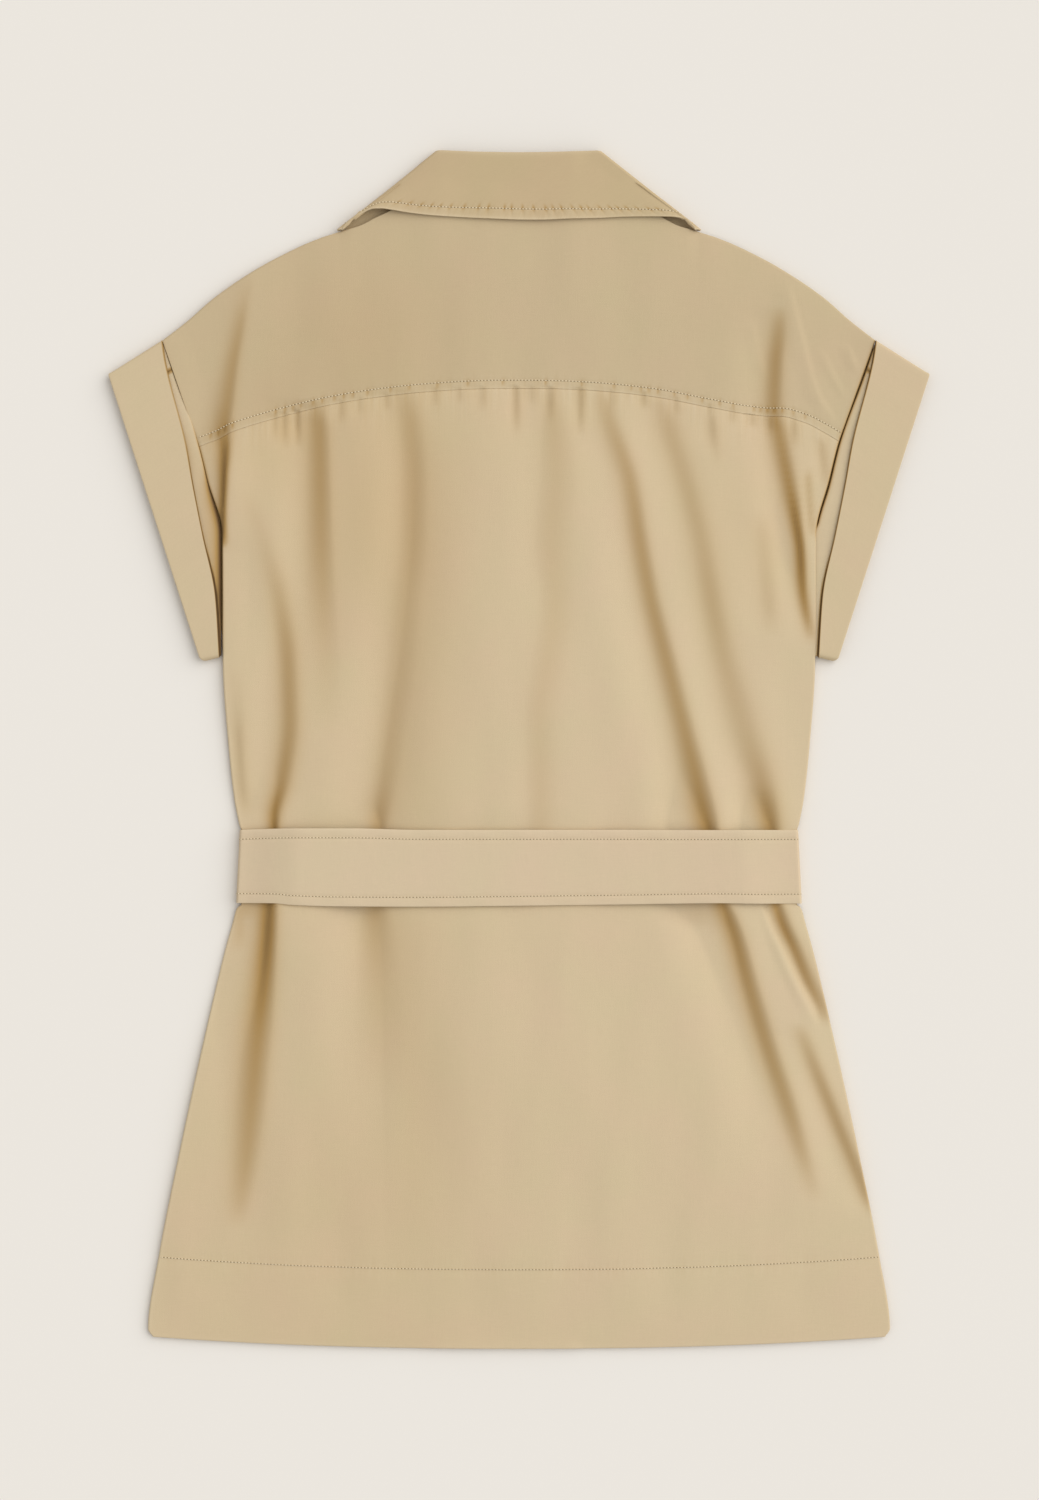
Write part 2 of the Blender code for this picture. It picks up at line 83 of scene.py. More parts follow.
def bump(distance: Array, width: float) -> Array:
    """Return a smooth bump: 1 at distance 0, and next to nothing past twice its width."""
    return np.exp(-(distance / width) ** 2)


def fading(distance: Array, reach: float) -> Array:
    """Return what is 1 at distance 0, and falls to about a third at the reach."""
    return np.exp(-distance / reach)


class Curve:
    """A smooth curve through points, which doesn't pass its values between them."""

    def __init__(self, points: Iterable[tuple[float, float]], unit: float = 1.0) -> None:
        """Work out the slopes.

        Args:
            points: Pairs of place and value, in any order.
            unit: What a place and a value of 1 stand for.
        """
        table = np.array(sorted(points), float) * unit
        self.place, self.value = table[:, 0], table[:, 1]
        self.step = np.diff(self.place)
        rise = np.diff(self.value) / self.step
        self.slope = np.zeros_like(self.value)
        self.slope[0], self.slope[-1] = rise[0], rise[-1]
        product = rise[:-1] * rise[1:]
        total = np.where(product > 0, rise[:-1] + rise[1:], 1.0)
        self.slope[1:-1] = np.where(product > 0, 2 * product / total, 0.0)

    def __call__(self, at: Array) -> Array:
        """Read the curve, which is held level past its ends.

        Args:
            at: The places to read it at.

        Returns:
            Its values there.
        """
        x = np.clip(np.asarray(at, float), self.place[0], self.place[-1])
        k = np.clip(np.searchsorted(self.place, x, side="right") - 1, 0, len(self.step) - 1)
        step = self.step[k]
        t = (x - self.place[k]) / step
        start = (1 + 2 * t) * (1 - t) ** 2 * self.value[k] + t * (1 - t) ** 2 * step * self.slope[k]
        end = t * t * (3 - 2 * t) * self.value[k + 1] - t * t * (1 - t) * step * self.slope[k + 1]
        return start + end


class Side(Enum):
    """The two sides of the coat, as the wearer has them."""

    RIGHT = 1
    LEFT = -1

    @property
    def word(self) -> str:
        """Return the side's name as pieces carry it."""
        return self.name.lower()


class Cloth(Enum):
    """The cloths of the coat: cut along the grain, cut across it, and the stiffened cloth of the belt."""

    LENGTHWISE = "coat_twill"
    CROSSWISE = "yoke_twill"
    BELTING = "belt_twill"


class Station(NamedTuple):
    """One place on a crease, in millimetres: its wall, and how far its foot sinks and its crest rises."""

    y: float
    x: float
    half: float
    sink: float = 0.0
    crest: float = 0.0


class Crease:
    """A crease of the cloth: a trough, a wall that rises to the right, and a crest, with shade painted on
    its wall.
    """

    tone_rim: ClassVar[float] = 0.0022  # how far the painted shade spreads past the wall
    tone_shift: ClassVar[float] = 0.4  # how far it moves to the steep side
    tone_fall: ClassVar[float] = 1.3  # how fast it ends on a soft side
    tone_crisp: ClassVar[float] = 2.0  # how much faster it ends on a steep side
    tone_power: ClassVar[float] = 1.8
    tone_gain: ClassVar[float] = 3.0  # how soon a steeper wall takes all of it

    def __init__(self, *stations: tuple[float, ...], left: float = 12.0, right: float = 14.0,
                 lean: float = 0.0, tint: float = 1.0) -> None:
        """Fit the curves along the crease.

        Args:
            stations: The crease's places from one end to the other, in millimetres.
            left: Reach of the trough past the foot of the wall, in millimetres.
            right: Reach of the swell past the crest, in millimetres.
            lean: From -1, steepest at the foot, to 1, steepest at the crest.
            tint: How much painted shade its wall takes.
        """
        rows = [Station(*row) for row in stations]
        self.low = min(row.y for row in rows) * MM
        self.high = max(row.y for row in rows) * MM
        self.wall_x = Curve([(row.y, row.x) for row in rows], MM)
        self.half = Curve([(row.y, row.half) for row in rows], MM)
        self.sink = Curve([(row.y, row.sink) for row in rows], MM)
        self.crest = Curve([(row.y, row.crest) for row in rows], MM)
        self.steep = Curve([(row.y * MM, (row.sink + row.crest) / (2 * row.half)) for row in rows])
        self.left, self.right, self.lean, self.tint = left * MM, right * MM, lean, tint

    def relief(self, x: Array, y: Array) -> Array:
        """Work out how far the crease raises the cloth, or sinks it where the value is below 0.

        Args:
            x: Places along X.
            y: Places along Y.

        Returns:
            The heights.
        """
        half, sink, crest = self.half(y), self.sink(y), self.crest(y)
        across = (x - self.wall_x(y)) / half
        t = np.clip((across + 1) / 2, 0.0, 1.0)
        leaning = t ** 2 if self.lean > 0 else 1 - (1 - t) ** 2
        wall = mix(-sink, crest, mix(t * t * (3 - 2 * t), leaning, abs(self.lean)))
        trough = -sink * np.exp(-((across + 1) * half / self.left) ** 2 / 2)
        swell = crest * np.exp(-((across - 1) * half / self.right) ** 2 / 2)
        shape = np.where(across < -1, trough, np.where(across > 1, swell, wall))
        return np.where((y > self.low) & (y < self.high), shape, 0.0)

    def tone(self, x: Array, y: Array) -> Array:
        """Work out the shade painted on the crease's wall.

        Args:
            x: Places along X.
            y: Places along Y.

        Returns:
            The painted shade: 1 takes the deep crease colour, and past 1 the darker painted shadow.
        """
        across = (x - self.wall_x(y)) / (self.half(y) + self.tone_rim) - self.tone_shift * self.lean
        steep_side = np.where(across > 0, max(self.lean, 0.0), max(-self.lean, 0.0))
        fall = self.tone_fall + self.tone_crisp * steep_side
        depth = self.tint * (1 - np.exp(-self.tone_gain * self.steep(y)))
        shade = depth * np.exp(-fall * np.abs(across) ** self.tone_power)
        return np.where((y > self.low) & (y < self.high), shade, 0.0)


def pucker(x: float, high: float, low: float, slant: float = 0.0, depth: float = 0.9) -> Crease:
    """Return a short gather of the cloth below a seam.

    Args:
        x: Where it starts, in millimetres.
        high: Its upper end.
        low: Its lower end.
        slant: How far it moves sideways on its way down.
        depth: How far it sinks.

    Returns:
        The crease.
    """
    middle = mix(high, low, 0.35)
    return Crease((high + 2, x, 1.9, depth * 0.8, depth * 0.5),
                  (middle, x + slant * 0.4, 2.3, depth, depth * 0.6),
                  (low, x + slant, 2.8), left=3.6, right=4.2, tint=0.42)


BACK_CREASES = (
    # left armhole, into the yoke
    Crease((356, -204, 6), (336, -208, 6, 0.4, 0.2), (318, -211, 6, 1.0, 0.5), (292, -216, 6.5, 1.6, 0.8),
           (262, -221, 8, 2.4, 1.1), (240, -224, 8.5, 3.8, 1.8), (222, -222.5, 6, 6.0, 3.0),
           (202, -222.5, 3.8, 7.4, 4.0), (186, -222.8, 3.0, 6.5, 3.6), (172, -223, 2.8, 4.0, 2.4),
           (150, -222, 3), left=12, right=12, lean=0.85, tint=1.45),
    # left side, above and below the belt
    Crease((196, -205, 7), (176, -198, 7, 0.3, 0.1), (157, -191, 8, 0.5, 0.2), (112, -179, 8, 1.9, 0.7),
           (67, -173, 8, 3.4, 1.2), (22, -171.5, 8, 3.7, 1.4), (-23, -177, 7.2, 4.4, 1.8),
           (-53, -183.5, 4.6, 7.0, 3.6), (-62, -183.5, 4.0, 7.4, 3.0), (-82, -184, 4), left=14, right=18,
           tint=1.08),
    Crease((-92, -188, 7), (-106, -188, 7, 6.5, 2.0), (-117, -188.4, 7.6, 9.2, 5.8),
           (-135, -189.2, 8.0, 10.0, 6.6), (-150, -190.4, 8.6, 9.6, 6.2), (-173, -192.6, 10.0, 7.6, 4.8),
           (-218, -197.6, 12.2, 4.8, 3.6), (-263, -201.6, 12.2, 3.6, 2.6), (-308, -206, 10.4, 2.1, 1.6),
           (-336, -209.6, 9, 1.0, 0.8), (-358, -213, 8), left=16, right=46, lean=0.35, tint=1.36),
    # hollow beside it, in the corner below the belt
    Crease((-98, -204, 9), (-108, -204, 9, 2.4, 0.2), (-118, -203.5, 8, 2.0, 0.2), (-129, -203, 7), left=8,
           right=5, tint=1.0),
    # left shoulder blade
    Crease((262, -153, 8), (253, -152.5, 8, 2.8, 0.6), (240, -151.5, 9, 5.4, 1.4),
           (202, -150.5, 9.5, 5.4, 1.4), (157, -150, 10.5, 4.6, 1.2), (112, -149, 12, 3.0, 0.8),
           (67, -148, 14, 1.4, 0.3), (30, -147, 14, 0.5, 0.1), (8, -146, 14), left=14, right=40,
           lean=0.45),
    # left of the centre, above and below the belt, with the long slope on its right
    Crease((271, -84, 9), (261, -83, 9, 1.5, 0.6), (240, -80.5, 10, 2.8, 1.0), (202, -78, 10.5, 2.9, 1.1),
           (157, -78.5, 11, 2.9, 1.1), (112, -83, 12, 2.5, 0.9), (67, -87, 12, 2.3, 0.8),
           (22, -93.5, 11, 2.3, 0.8), (-23, -99.5, 10, 2.6, 1.0), (-53, -104.5, 8, 3.8, 1.6),
           (-62, -106, 7, 4.2, 1.2), (-82, -107, 7), left=14, right=22, lean=-0.1, tint=0.92),
    Crease((262, -52, 26), (202, -50, 28, 1.4, 1.6), (112, -54, 30, 2.2, 2.6), (22, -64, 33, 2.6, 3.0),
           (-40, -72, 34, 2.6, 3.0), (-75, -74, 34, 1.2, 0.6), (-110, -72, 34, 1.6, 0.8),
           (-140, -70, 34, 2.4, 2.2), (-220, -66, 36, 2.2, 2.2), (-320, -62, 38, 1.0, 1.0),
           (-400, -60, 38), left=18, right=50, lean=-0.9, tint=0.7),
    Crease((-92, -109, 7), (-106, -108, 8, 3.2, 0.5), (-117, -107, 11, 4.2, 1.4),
           (-135, -106, 14, 4.2, 1.2), (-173, -104, 17, 2.8, 0.8), (-215, -102, 20, 1.6, 0.4),
           (-260, -102, 20), left=18, right=24, lean=-0.2),
    # centre, broad and faint
    Crease((272, 26, 10), (255, 27, 10, 1.2, 0.4), (240, 28, 11, 2.0, 0.6), (202, 30, 14, 2.0, 0.7),
           (157, 27, 15, 2.2, 0.7), (112, 29, 13, 1.8, 0.6), (67, 24, 13, 1.6, 0.5),
           (22, 17, 12, 1.3, 0.5), (-53, 18, 11, 1.3, 0.5), (-80, 18, 10), left=14, right=24, lean=-0.4,
           tint=0.8),
    # long slanting fold right of the centre, above and below the belt
    Crease((272, 57, 6), (258, 62, 7, 1.0, 0.3), (240, 68, 8, 1.8, 0.6), (202, 81, 8, 2.8, 0.9),
           (157, 88.5, 8, 3.6, 1.1), (112, 97, 8, 3.8, 1.2), (67, 108.5, 8.6, 4.2, 1.3),
           (22, 120, 9, 4.7, 1.5), (-23, 131, 10.2, 6.8, 2.4), (-53, 137.4, 10.8, 10.2, 3.5),
           (-62, 139.4, 9.8, 10.2, 3.0), (-82, 146, 6), left=14, right=14, lean=0.45, tint=1.18),
    Crease((-90, 146, 7), (-106, 148, 7, 6.4, 1.0), (-117, 151, 7.6, 8.2, 1.8), (-124, 154, 8.0, 8.6, 1.9),
           (-138, 159.5, 8.2, 8.4, 1.7), (-173, 169.5, 8.6, 7.0, 1.5), (-218, 183, 8.8, 5.6, 1.4),
           (-263, 198.5, 8.4, 4.0, 1.5), (-292, 207.5, 7.6, 2.4, 0.9), (-316, 214.5, 7, 1.0, 0.4),
           (-340, 221, 7), left=20, right=14, lean=0.35, tint=1.10),
    # hollow beside it, just below the belt
    Crease((-98, 126, 12), (-108, 128, 12, 1.8, 0.2), (-121, 132, 12, 1.5, 0.2), (-136, 136, 12), left=12,
           right=6, lean=0.3, tint=0.9),
    # left edge of the skirt, just below the belt
    Crease((-110, -211.5, 4), (-122, -210.5, 4, 1.6, 0.4), (-135, -209.5, 4, 1.4, 0.4), (-152, -211, 4),
           left=5, right=6, tint=0.6),
    # second slanting fold, above and below the belt
    Crease((267, 104, 8), (254, 108, 8, 0.9, 0.3), (240, 112, 9, 1.6, 0.6), (202, 124, 9, 1.7, 0.6),
           (157, 136, 9, 1.8, 0.6), (112, 144, 9.5, 2.3, 0.8), (67, 153.5, 10.5, 2.2, 0.7),
           (22, 166.5, 13, 2.4, 0.8), (-23, 181, 11, 3.8, 1.5), (-53, 187, 9, 8.2, 3.2),
           (-62, 188.5, 8, 8.2, 2.6), (-82, 192, 5), left=12, right=14, tint=1.08),
    Crease((-94, 188, 5), (-106, 190, 5, 5.5, 0.8), (-117, 193.5, 5.4, 6.5, 2.2),
           (-128, 197.5, 5.4, 6.5, 2.6), (-138, 202, 5.4, 6.2, 2.4), (-148, 207, 5.4, 5.0, 1.8),
           (-173, 218, 5.4, 3.6, 1.4), (-195, 228.5, 5, 1.6, 0.7), (-206, 232, 5), left=3, right=9,
           lean=-0.6, tint=1.04),
    # bright ridge beside it
    Crease((-108, 180, 5), (-117, 182, 5, 0, 1.1), (-143, 188.5, 5, 0, 1.2), (-171, 200.5, 5, 0, 1.1),
           (-193, 211.5, 5, 0, 0.7), (-212, 219.5, 5), left=5, right=1.5, tint=0.0),
    # right edge of the skirt
    Crease((-204, 208, 6), (-218, 213, 6, 1.3, 0.5), (-263, 231, 6, 2.8, 1.0),
           (-308, 249.5, 5.5, 2.8, 1.0), (-330, 258, 5, 2.2, 0.8), (-350, 266, 4), left=12, right=8,
           lean=0.2),
    # right armhole, into the yoke
    Crease((332, 194, 6), (318, 193.5, 6, 1.4, 0.5), (303, 192.3, 6.5, 2.4, 0.9),
           (292, 191, 6.5, 2.8, 1.0), (255, 189.5, 7, 3.0, 1.2), (240, 192.6, 7, 3.8, 1.6),
           (222, 196, 6.6, 3.8, 1.6), (195, 201.6, 6, 4.4, 1.7), (170, 206.4, 4.4, 6.4, 2.6),
           (150, 209.5, 3.6, 6.8, 2.6), (120, 211.5, 3.6, 3.6, 1.4), (93, 216, 3.6, 1.4, 0.4),
           (80, 219, 4.5), left=12, right=9, lean=0.4, tint=1.25),
    Crease((178, 181, 6), (157, 183, 7, 1.1, 0.3), (112, 187, 7, 1.4, 0.4), (84, 189, 6), tint=0.6),
    # thin ridges on the right of the yoke
    Crease((352, 193, 7), (340, 196, 7, 0, 0.5), (298, 206.5, 7, 0, 0.8), (266, 216, 7, 0, 0.8),
           (251, 226, 6, 0, 0.5), (243, 231, 6), left=6, right=1.5, tint=0.0),
    Crease((304, 240, 5), (296, 243, 5, 0, 0.6), (287, 246.5, 5, 0, 0.6), (280, 249, 5), left=4, right=1.4,
           tint=0.0),
    Crease((300, 222, 4), (292, 225, 4, 0, 0.4), (274, 234, 4, 0, 0.5), (262, 240, 4), left=4, right=1.4,
           tint=0.0),
    Crease((322, 168, 5), (312, 170, 5, 0, 0.4), (290, 175, 5, 0, 0.4), (276, 178, 5), left=4, right=2.0,
           tint=0.0),
    # small creases beside the right armhole and down the left side
    Crease((234, 225.5, 2.5), (224, 227, 2.5, 0.9, 0.3), (208, 229, 2.5, 0.8, 0.3), (197, 229.5, 2.5),
           left=4, right=4, tint=0.5),
    Crease((210, 216, 1.6), (200, 216.5, 1.6, 0.8, 0.3), (172, 218.6, 1.6, 0.8, 0.3), (158, 219.5, 1.6),
           left=3, right=4, tint=0.6),
    Crease((252, 206, 2.5), (240, 206, 2.5, 1.0, 0.3), (224, 207, 2.5), left=4, right=4, tint=0.5),
    Crease((250, 144, 4), (240, 144, 4, 0.8, 0.3), (222, 145, 4), left=6, right=6, tint=0.3),
    Crease((64, -212, 5), (30, -210, 5, 0.5, 0.2), (4, -209, 4, 1.2, 0.5), (-30, -207, 4, 1.2, 0.5),
           (-52, -204, 4), left=6, right=6, tint=0.5),
    # gathers where the back is eased into the yoke
    pucker(-181.5, 248, 230, depth=0.8), pucker(-174.5, 250, 226, depth=1.3),
    pucker(-165, 252, 226, depth=1.5),
    pucker(-132, 259, 242, depth=0.6), pucker(-118, 261, 248, depth=0.5), pucker(-98, 264, 252, depth=0.5),
    pucker(-62, 268, 254, depth=0.5), pucker(-44, 268, 258, depth=0.5), pucker(-27, 269, 252, depth=0.6),
    pucker(-1.5, 269, 234, depth=0.9), pucker(10, 269, 256, depth=0.5), pucker(24, 269, 244, depth=0.9),
    pucker(46.5, 268, 234, depth=1.1), pucker(70, 267, 252, depth=0.5), pucker(93.8, 265, 254, depth=0.7),
    pucker(118, 261, 248, depth=0.6), pucker(142.5, 256, 210, 7.0, 0.5), pucker(160, 253, 242, depth=0.5),
    pucker(174.8, 249, 240, depth=0.7), pucker(189, 246, 236, depth=0.7),
)


class Ripple(NamedTuple):
    """A slight wave of the cloth: its length, heading and start in radians, and its height."""

    length: float
    heading: float
    start: float
    height: float


RIPPLES = (
    Ripple(0.083, 0.16, 0.4, 0.00026),
    Ripple(0.061, -0.12, 1.9, 0.00020),
    Ripple(0.047, 0.24, 3.1, 0.00012),
    Ripple(0.131, 1.05, 5.0, 0.00022),
    Ripple(0.034, -0.20, 2.2, 0.00007),
)


class OutlineRow(NamedTuple):
    """One row of the coat's outline: its side, and how far it drops from there to the centre back."""

    y: float
    half_width: float
    crown: float


class LoftRow(NamedTuple):
    """How high the back is puffed up at one height of the coat, and what is left at its sides."""

    y: float
    loft: float
    edge_rise: float


class Point(NamedTuple):
    """A point seen from above."""

    x: float
    y: float


class Shade(NamedTuple):
    """A broad patch of painted shade: how deep it is, its centre, and its reach both ways."""

    depth: float
    x: float
    y: float
    wide: float
    high: float


SHADES = (
    Shade(0.19, -0.112, 0.170, 0.045, 0.085),  # left shoulder blade
    Shade(0.10, -0.186, 0.232, 0.026, 0.045),  # beside the left armhole
    Shade(0.14, -0.120, 0.320, 0.085, 0.060),  # left of the neck
    Shade(0.09, 0.160, 0.150, 0.050, 0.070),  # right flank
    Shade(0.06, -0.130, -0.330, 0.100, 0.080),  # left of the skirt
)


def left_gap(y: Array) -> Array:
    """Return how open the gap is between the back and the left sleeve, from 0 to 1."""
    return ease(0.085, 0.115, y) * ease(0.215, 0.180, y)


@dataclass
class CoatForm:
    """The lay of the coat on the floor: outline, layers, puffed height and creases."""

    wall: float = 0.0007  # visible thickness of one cloth
    layer: float = 0.0015  # what one piece of cloth takes up in the pile
    lie_flat: float = 0.0027
    belt_layer: float = 0.0018
    hem_y: float = -0.4400
    crown_power: float = 2.3
    yoke_seam: OutlineRow = OutlineRow(0.2284, 0.2396, -0.0412)
    shoulder_tip: OutlineRow = OutlineRow(0.3064, 0.2670, -0.0412)
    outline: tuple[OutlineRow, ...] = (
        OutlineRow(-0.4400, 0.2745, 0.0089), OutlineRow(-0.4340, 0.2780, 0.0089),
        OutlineRow(-0.3800, 0.2701, 0.0090), OutlineRow(-0.3004, 0.2543, 0.0060),
        OutlineRow(-0.2254, 0.2380, 0.0035), OutlineRow(-0.1504, 0.2203, 0.0010),
        OutlineRow(-0.1300, 0.2146, 0.0000), OutlineRow(-0.1185, 0.2112, 0.0000),
        OutlineRow(-0.1165, 0.2084, 0.0000), OutlineRow(-0.0605, 0.2066, 0.0000),
        OutlineRow(-0.0588, 0.2088, 0.0000), OutlineRow(-0.0500, 0.2110, -0.0005),
        OutlineRow(-0.0380, 0.2133, -0.0010), OutlineRow(-0.0004, 0.2175, -0.0020),
        OutlineRow(0.0670, 0.2220, -0.0060), OutlineRow(0.1600, 0.2224, -0.0180),
        OutlineRow(0.2000, 0.2325, -0.0300), yoke_seam,
    )
    top_points: tuple[Point, ...] = (
        Point(0.0000, 0.4490), Point(0.0578, 0.4490), Point(0.1253, 0.4001), Point(0.1340, 0.3880),
        Point(0.1520, 0.3821), Point(0.1840, 0.3671), Point(0.2090, 0.3521), Point(0.2300, 0.3371),
        Point(0.2470, 0.3221), Point(0.2670, 0.3064),
    )
    yoke_points: tuple[Point, ...] = (
        Point(0.0000, 0.4120), Point(0.0800, 0.4085), Point(0.1050, 0.3990), Point(0.1200, 0.3915),
    ) + top_points[3:]
    lofts: tuple[LoftRow, ...] = (
        LoftRow(-0.4490, 0.0004, 0.0000), LoftRow(-0.4360, 0.0012, 0.0006), LoftRow(-0.3800, 0.0036, 0.0016),
        LoftRow(-0.3000, 0.0050, 0.0022), LoftRow(-0.2250, 0.0055, 0.0026), LoftRow(-0.1195, 0.0050, 0.0022),
        LoftRow(-0.0877, 0.0028, 0.0012), LoftRow(-0.0560, 0.0050, 0.0020), LoftRow(0.0000, 0.0056, 0.0026),
        LoftRow(0.0670, 0.0058, 0.0030), LoftRow(0.1600, 0.0058, 0.0034), LoftRow(0.2284, 0.0050, 0.0034),
        LoftRow(0.3000, 0.0044, 0.0030), LoftRow(0.3850, 0.0038, 0.0020), LoftRow(0.4490, 0.0030, 0.0000),
    )
    seam_waver: Curve = Curve([(-240, -1.6), (-226, -1.6), (-214, -0.4), (-150, 0.0), (-90, -0.3), (0, 0.0),
                               (100, -0.6), (138, -1.7), (160, -1.1), (182, 1.8), (204, 6.2), (215, 6.2),
                               (226, 4.6), (240, 1.8)], MM)
    # deeper colour towards the collar, and painted shade on the left side, which faces away from the light
    tone_up: Curve = Curve([(-0.45, 0.03), (0.02, 0.0), (0.12, 0.01), (0.20, 0.04), (0.26, 0.07),
                            (0.30, 0.09), (0.42, 0.10)])
    tone_left: Curve = Curve([(-0.30, 0.05), (-0.20, 0.08), (-0.10, 0.09), (-0.02, 0.05), (0.06, 0.02),
                              (0.30, 0.0)])
    dome_power: float = 2.2
    top_roll: float = 0.024
    soft_contact: float = 0.0004
    calm_side: float = 0.02  # ripples die out this near to the side
    calm_hem: float = 0.03  # and this near to the hem, down to a small share
    calm_share: float = 0.15
    front_lap_half: float = 0.020
    lap_settle: float = 0.035
    belt_low_y: float = -0.1163
    belt_high_y: float = -0.0593
    belt_lap_from: float = -0.070
    belt_lap_to: float = 0.020
    belt_lap_rise: float = 0.030
    belt_cover: float = 0.018
    collar_point_y: float = 0.2870
    collar_point_inset: float = 0.004
    collar_tip_x: float = 0.1325
    collar_settle: float = 0.027
    underarm_y: float = 0.0690
    seam_low: float = 0.0008  # height of the side seam over the floor
    hem_low: float = 0.0018  # height of its end at the hem
    armhole_low: float = 0.0038  # height at which the armhole edge is sewn to the sleeve
    gap_depth: float = 0.0024  # how much lower that is where the left gap is open
    flush_height: float = 0.0061  # height of the armhole edge where it lies close to the sleeve
    flush_y: float = 0.1600  # the right armhole lies close below this
    left_flush_y: float = 0.2350  # and the left one above this
    rim_deep: float = 1.4  # shade painted on the open armhole's edge
    rim_faint: float = 0.2  # and of the edge that lies close
    rim_reach: float = 0.0006
    edge_radius: float = 0.0010
    shoulder_from: float = 0.125  # the yoke rolls down to the shoulder seam from here outwards
    shoulder_full: float = 0.140
    shoulder_drop: float = 0.0003
    half_width: Curve = field(init=False)
    crown: Curve = field(init=False)
    loft: Curve = field(init=False)
    edge_rise: Curve = field(init=False)
    yoke_top: Curve = field(init=False)
    shoulder_width: Curve = field(init=False)

    def __post_init__(self) -> None:
        """Fit the curves of the tables."""
        rows = self.outline + (self.shoulder_tip,)
        self.half_width = Curve([(row.y, row.half_width) for row in rows])
        self.crown = Curve([(row.y, row.crown) for row in self.outline])
        self.loft = Curve([(row.y, row.loft) for row in self.lofts])
        self.edge_rise = Curve([(row.y, row.edge_rise) for row in self.lofts])
        self.yoke_top = Curve(self.yoke_points)
        self.shoulder_width = Curve([(point.y, point.x) for point in self.yoke_points[2:]])

    def top_outline(self, x: Array) -> Array:
        """Return how far up the outline of collar and shoulder reaches at x."""
        places, heights = zip(*self.top_points)
        return np.interp(np.abs(x), places, heights)

    def belt_under(self, x: Array, y: Array) -> Array:
        """Work out how far the belt lifts the fronts off the floor.

        Args:
            x: Places along X.
            y: Places along Y.

        Returns:
            The lift.
        """
        near = (ease(self.belt_low_y - self.belt_cover, self.belt_low_y, y)
                * ease(self.belt_high_y + self.belt_cover, self.belt_high_y, y))
        rise = self.belt_lap_rise
        lap = (ease(self.belt_lap_from - 3 * rise, self.belt_lap_from - rise, x)
               * ease(self.belt_lap_to + 2 * rise, self.belt_lap_to + rise / 2, x))
        return near * self.belt_layer * (1 + lap)

    def front_floor(self, x: Array, y: Array) -> Array:
        """Work out the underside of the lower front, over the belt and the front leaves of the collar.

        Args:
            x: Places along X.
            y: Places along Y.

        Returns:
            The heights.
        """
        point_y, settle = self.collar_point_y, self.collar_settle
        past_point = ease(point_y - settle, point_y - self.collar_point_inset, y)
        inside_tip = ease(self.collar_tip_x + settle * 2, self.collar_tip_x + settle, np.abs(x))
        return self.belt_under(x, y) + self.layer * past_point * inside_tip

    def front_lap(self, x: Array) -> Array:
        """Return how far the left front is lifted where it lies on the right one."""
        edge = -self.front_lap_half - self.lap_settle
        return self.layer * ease(-self.front_lap_half - 2 * self.lap_settle, edge, x)

    def resting(self, x: Array, y: Array) -> Array:
        """Work out the lowest that the outer face of the back can lie on the fronts.

        Args:
            x: Places along X.
            y: Places along Y.

        Returns:
            The heights.
        """
        edge, settle = self.front_lap_half, self.lap_settle
        lapped = self.front_lap(x) * ease(edge + settle, edge + settle / 2, x)
        return self.front_floor(x, y) + lapped + self.lie_flat

    def creasing(self, x: Array, y: Array) -> Array:
        """Return how far the creases raise or sink the back."""
        return sum((crease.relief(x, y) for crease in BACK_CREASES), np.zeros(np.broadcast(x, y).shape))

    def ripple(self, x: Array, y: Array) -> Array:
        """Work out the slight unevenness of cloth that lies free.

        Args:
            x: Places along X.
            y: Places along Y.

        Returns:
            The heights.
        """
        total = np.zeros(np.broadcast(x, y).shape)
        for wave in RIPPLES:
            along = x * math.cos(wave.heading) + y * math.sin(wave.heading)
            total = total + wave.height * np.sin(along * 2 * math.pi / wave.length + wave.start)
        return total

    def back_height(self, x: Array, y: Array) -> Array:
        """Work out the height of the outer face of the back and yoke, apart from its rolled edges.

        Args:
            x: Places along X.
            y: Places along Y.

        Returns:
            The heights.
        """
        half = self.half_width(y)
        side = np.maximum(half - np.abs(x), 0.0) + 2 * np.maximum(y - self.shoulder_tip.y, 0.0)
        top = np.maximum(self.top_outline(x) - y, 0.0)
        puff = 1 - (1 - np.minimum(side / half, 1.0)) ** self.dome_power
        puff = puff * (1 - fading(top, self.top_roll))
        free = (np.minimum(side / self.calm_side, 1.0)
                * np.clip((y - self.hem_y) / self.calm_hem, self.calm_share, 1.0))
        level = (self.lie_flat + self.edge_rise(y) + self.loft(y) * puff
                 + self.creasing(x, y) + self.ripple(x, y) * free)
        rest = self.resting(x, y)
        return (level + rest + np.hypot(level - rest, self.soft_contact)) / 2

    def depth_of_tone(self, x: Array, y: Array) -> Array:
        """Work out the shade painted on the cloth.

        Args:
            x: Places along X.
            y: Places along Y.

        Returns:
            The painted shade: 0 on open cloth, 1 in creases, and past 1 the painted shadow of gaps.
        """
        plain = np.ones(np.broadcast(x, y).shape)
        over = np.zeros_like(plain)
        # painted shade of each crease, and the darker painted shadow past 1
        for crease in BACK_CREASES:
            tone = crease.tone(x, y)
            plain = plain * (1 - np.minimum(tone, 1.0))
            over = np.maximum(over, tone - 1)
        # broad painted shade: darker towards the collar, on the left side away from the light, and in the
        # patches of SHADES
        broad = self.tone_up(y) + self.tone_left(x) * ease(0.34, 0.22, y)
        for shade in SHADES:
            far = ((x - shade.x) / shade.wide) ** 2 + ((y - shade.y) / shade.high) ** 2
            broad = broad + shade.depth * np.exp(-far)
        return np.clip(1 - plain * (1 - broad), 0.0, 1.0) + np.minimum(over, 1.0)

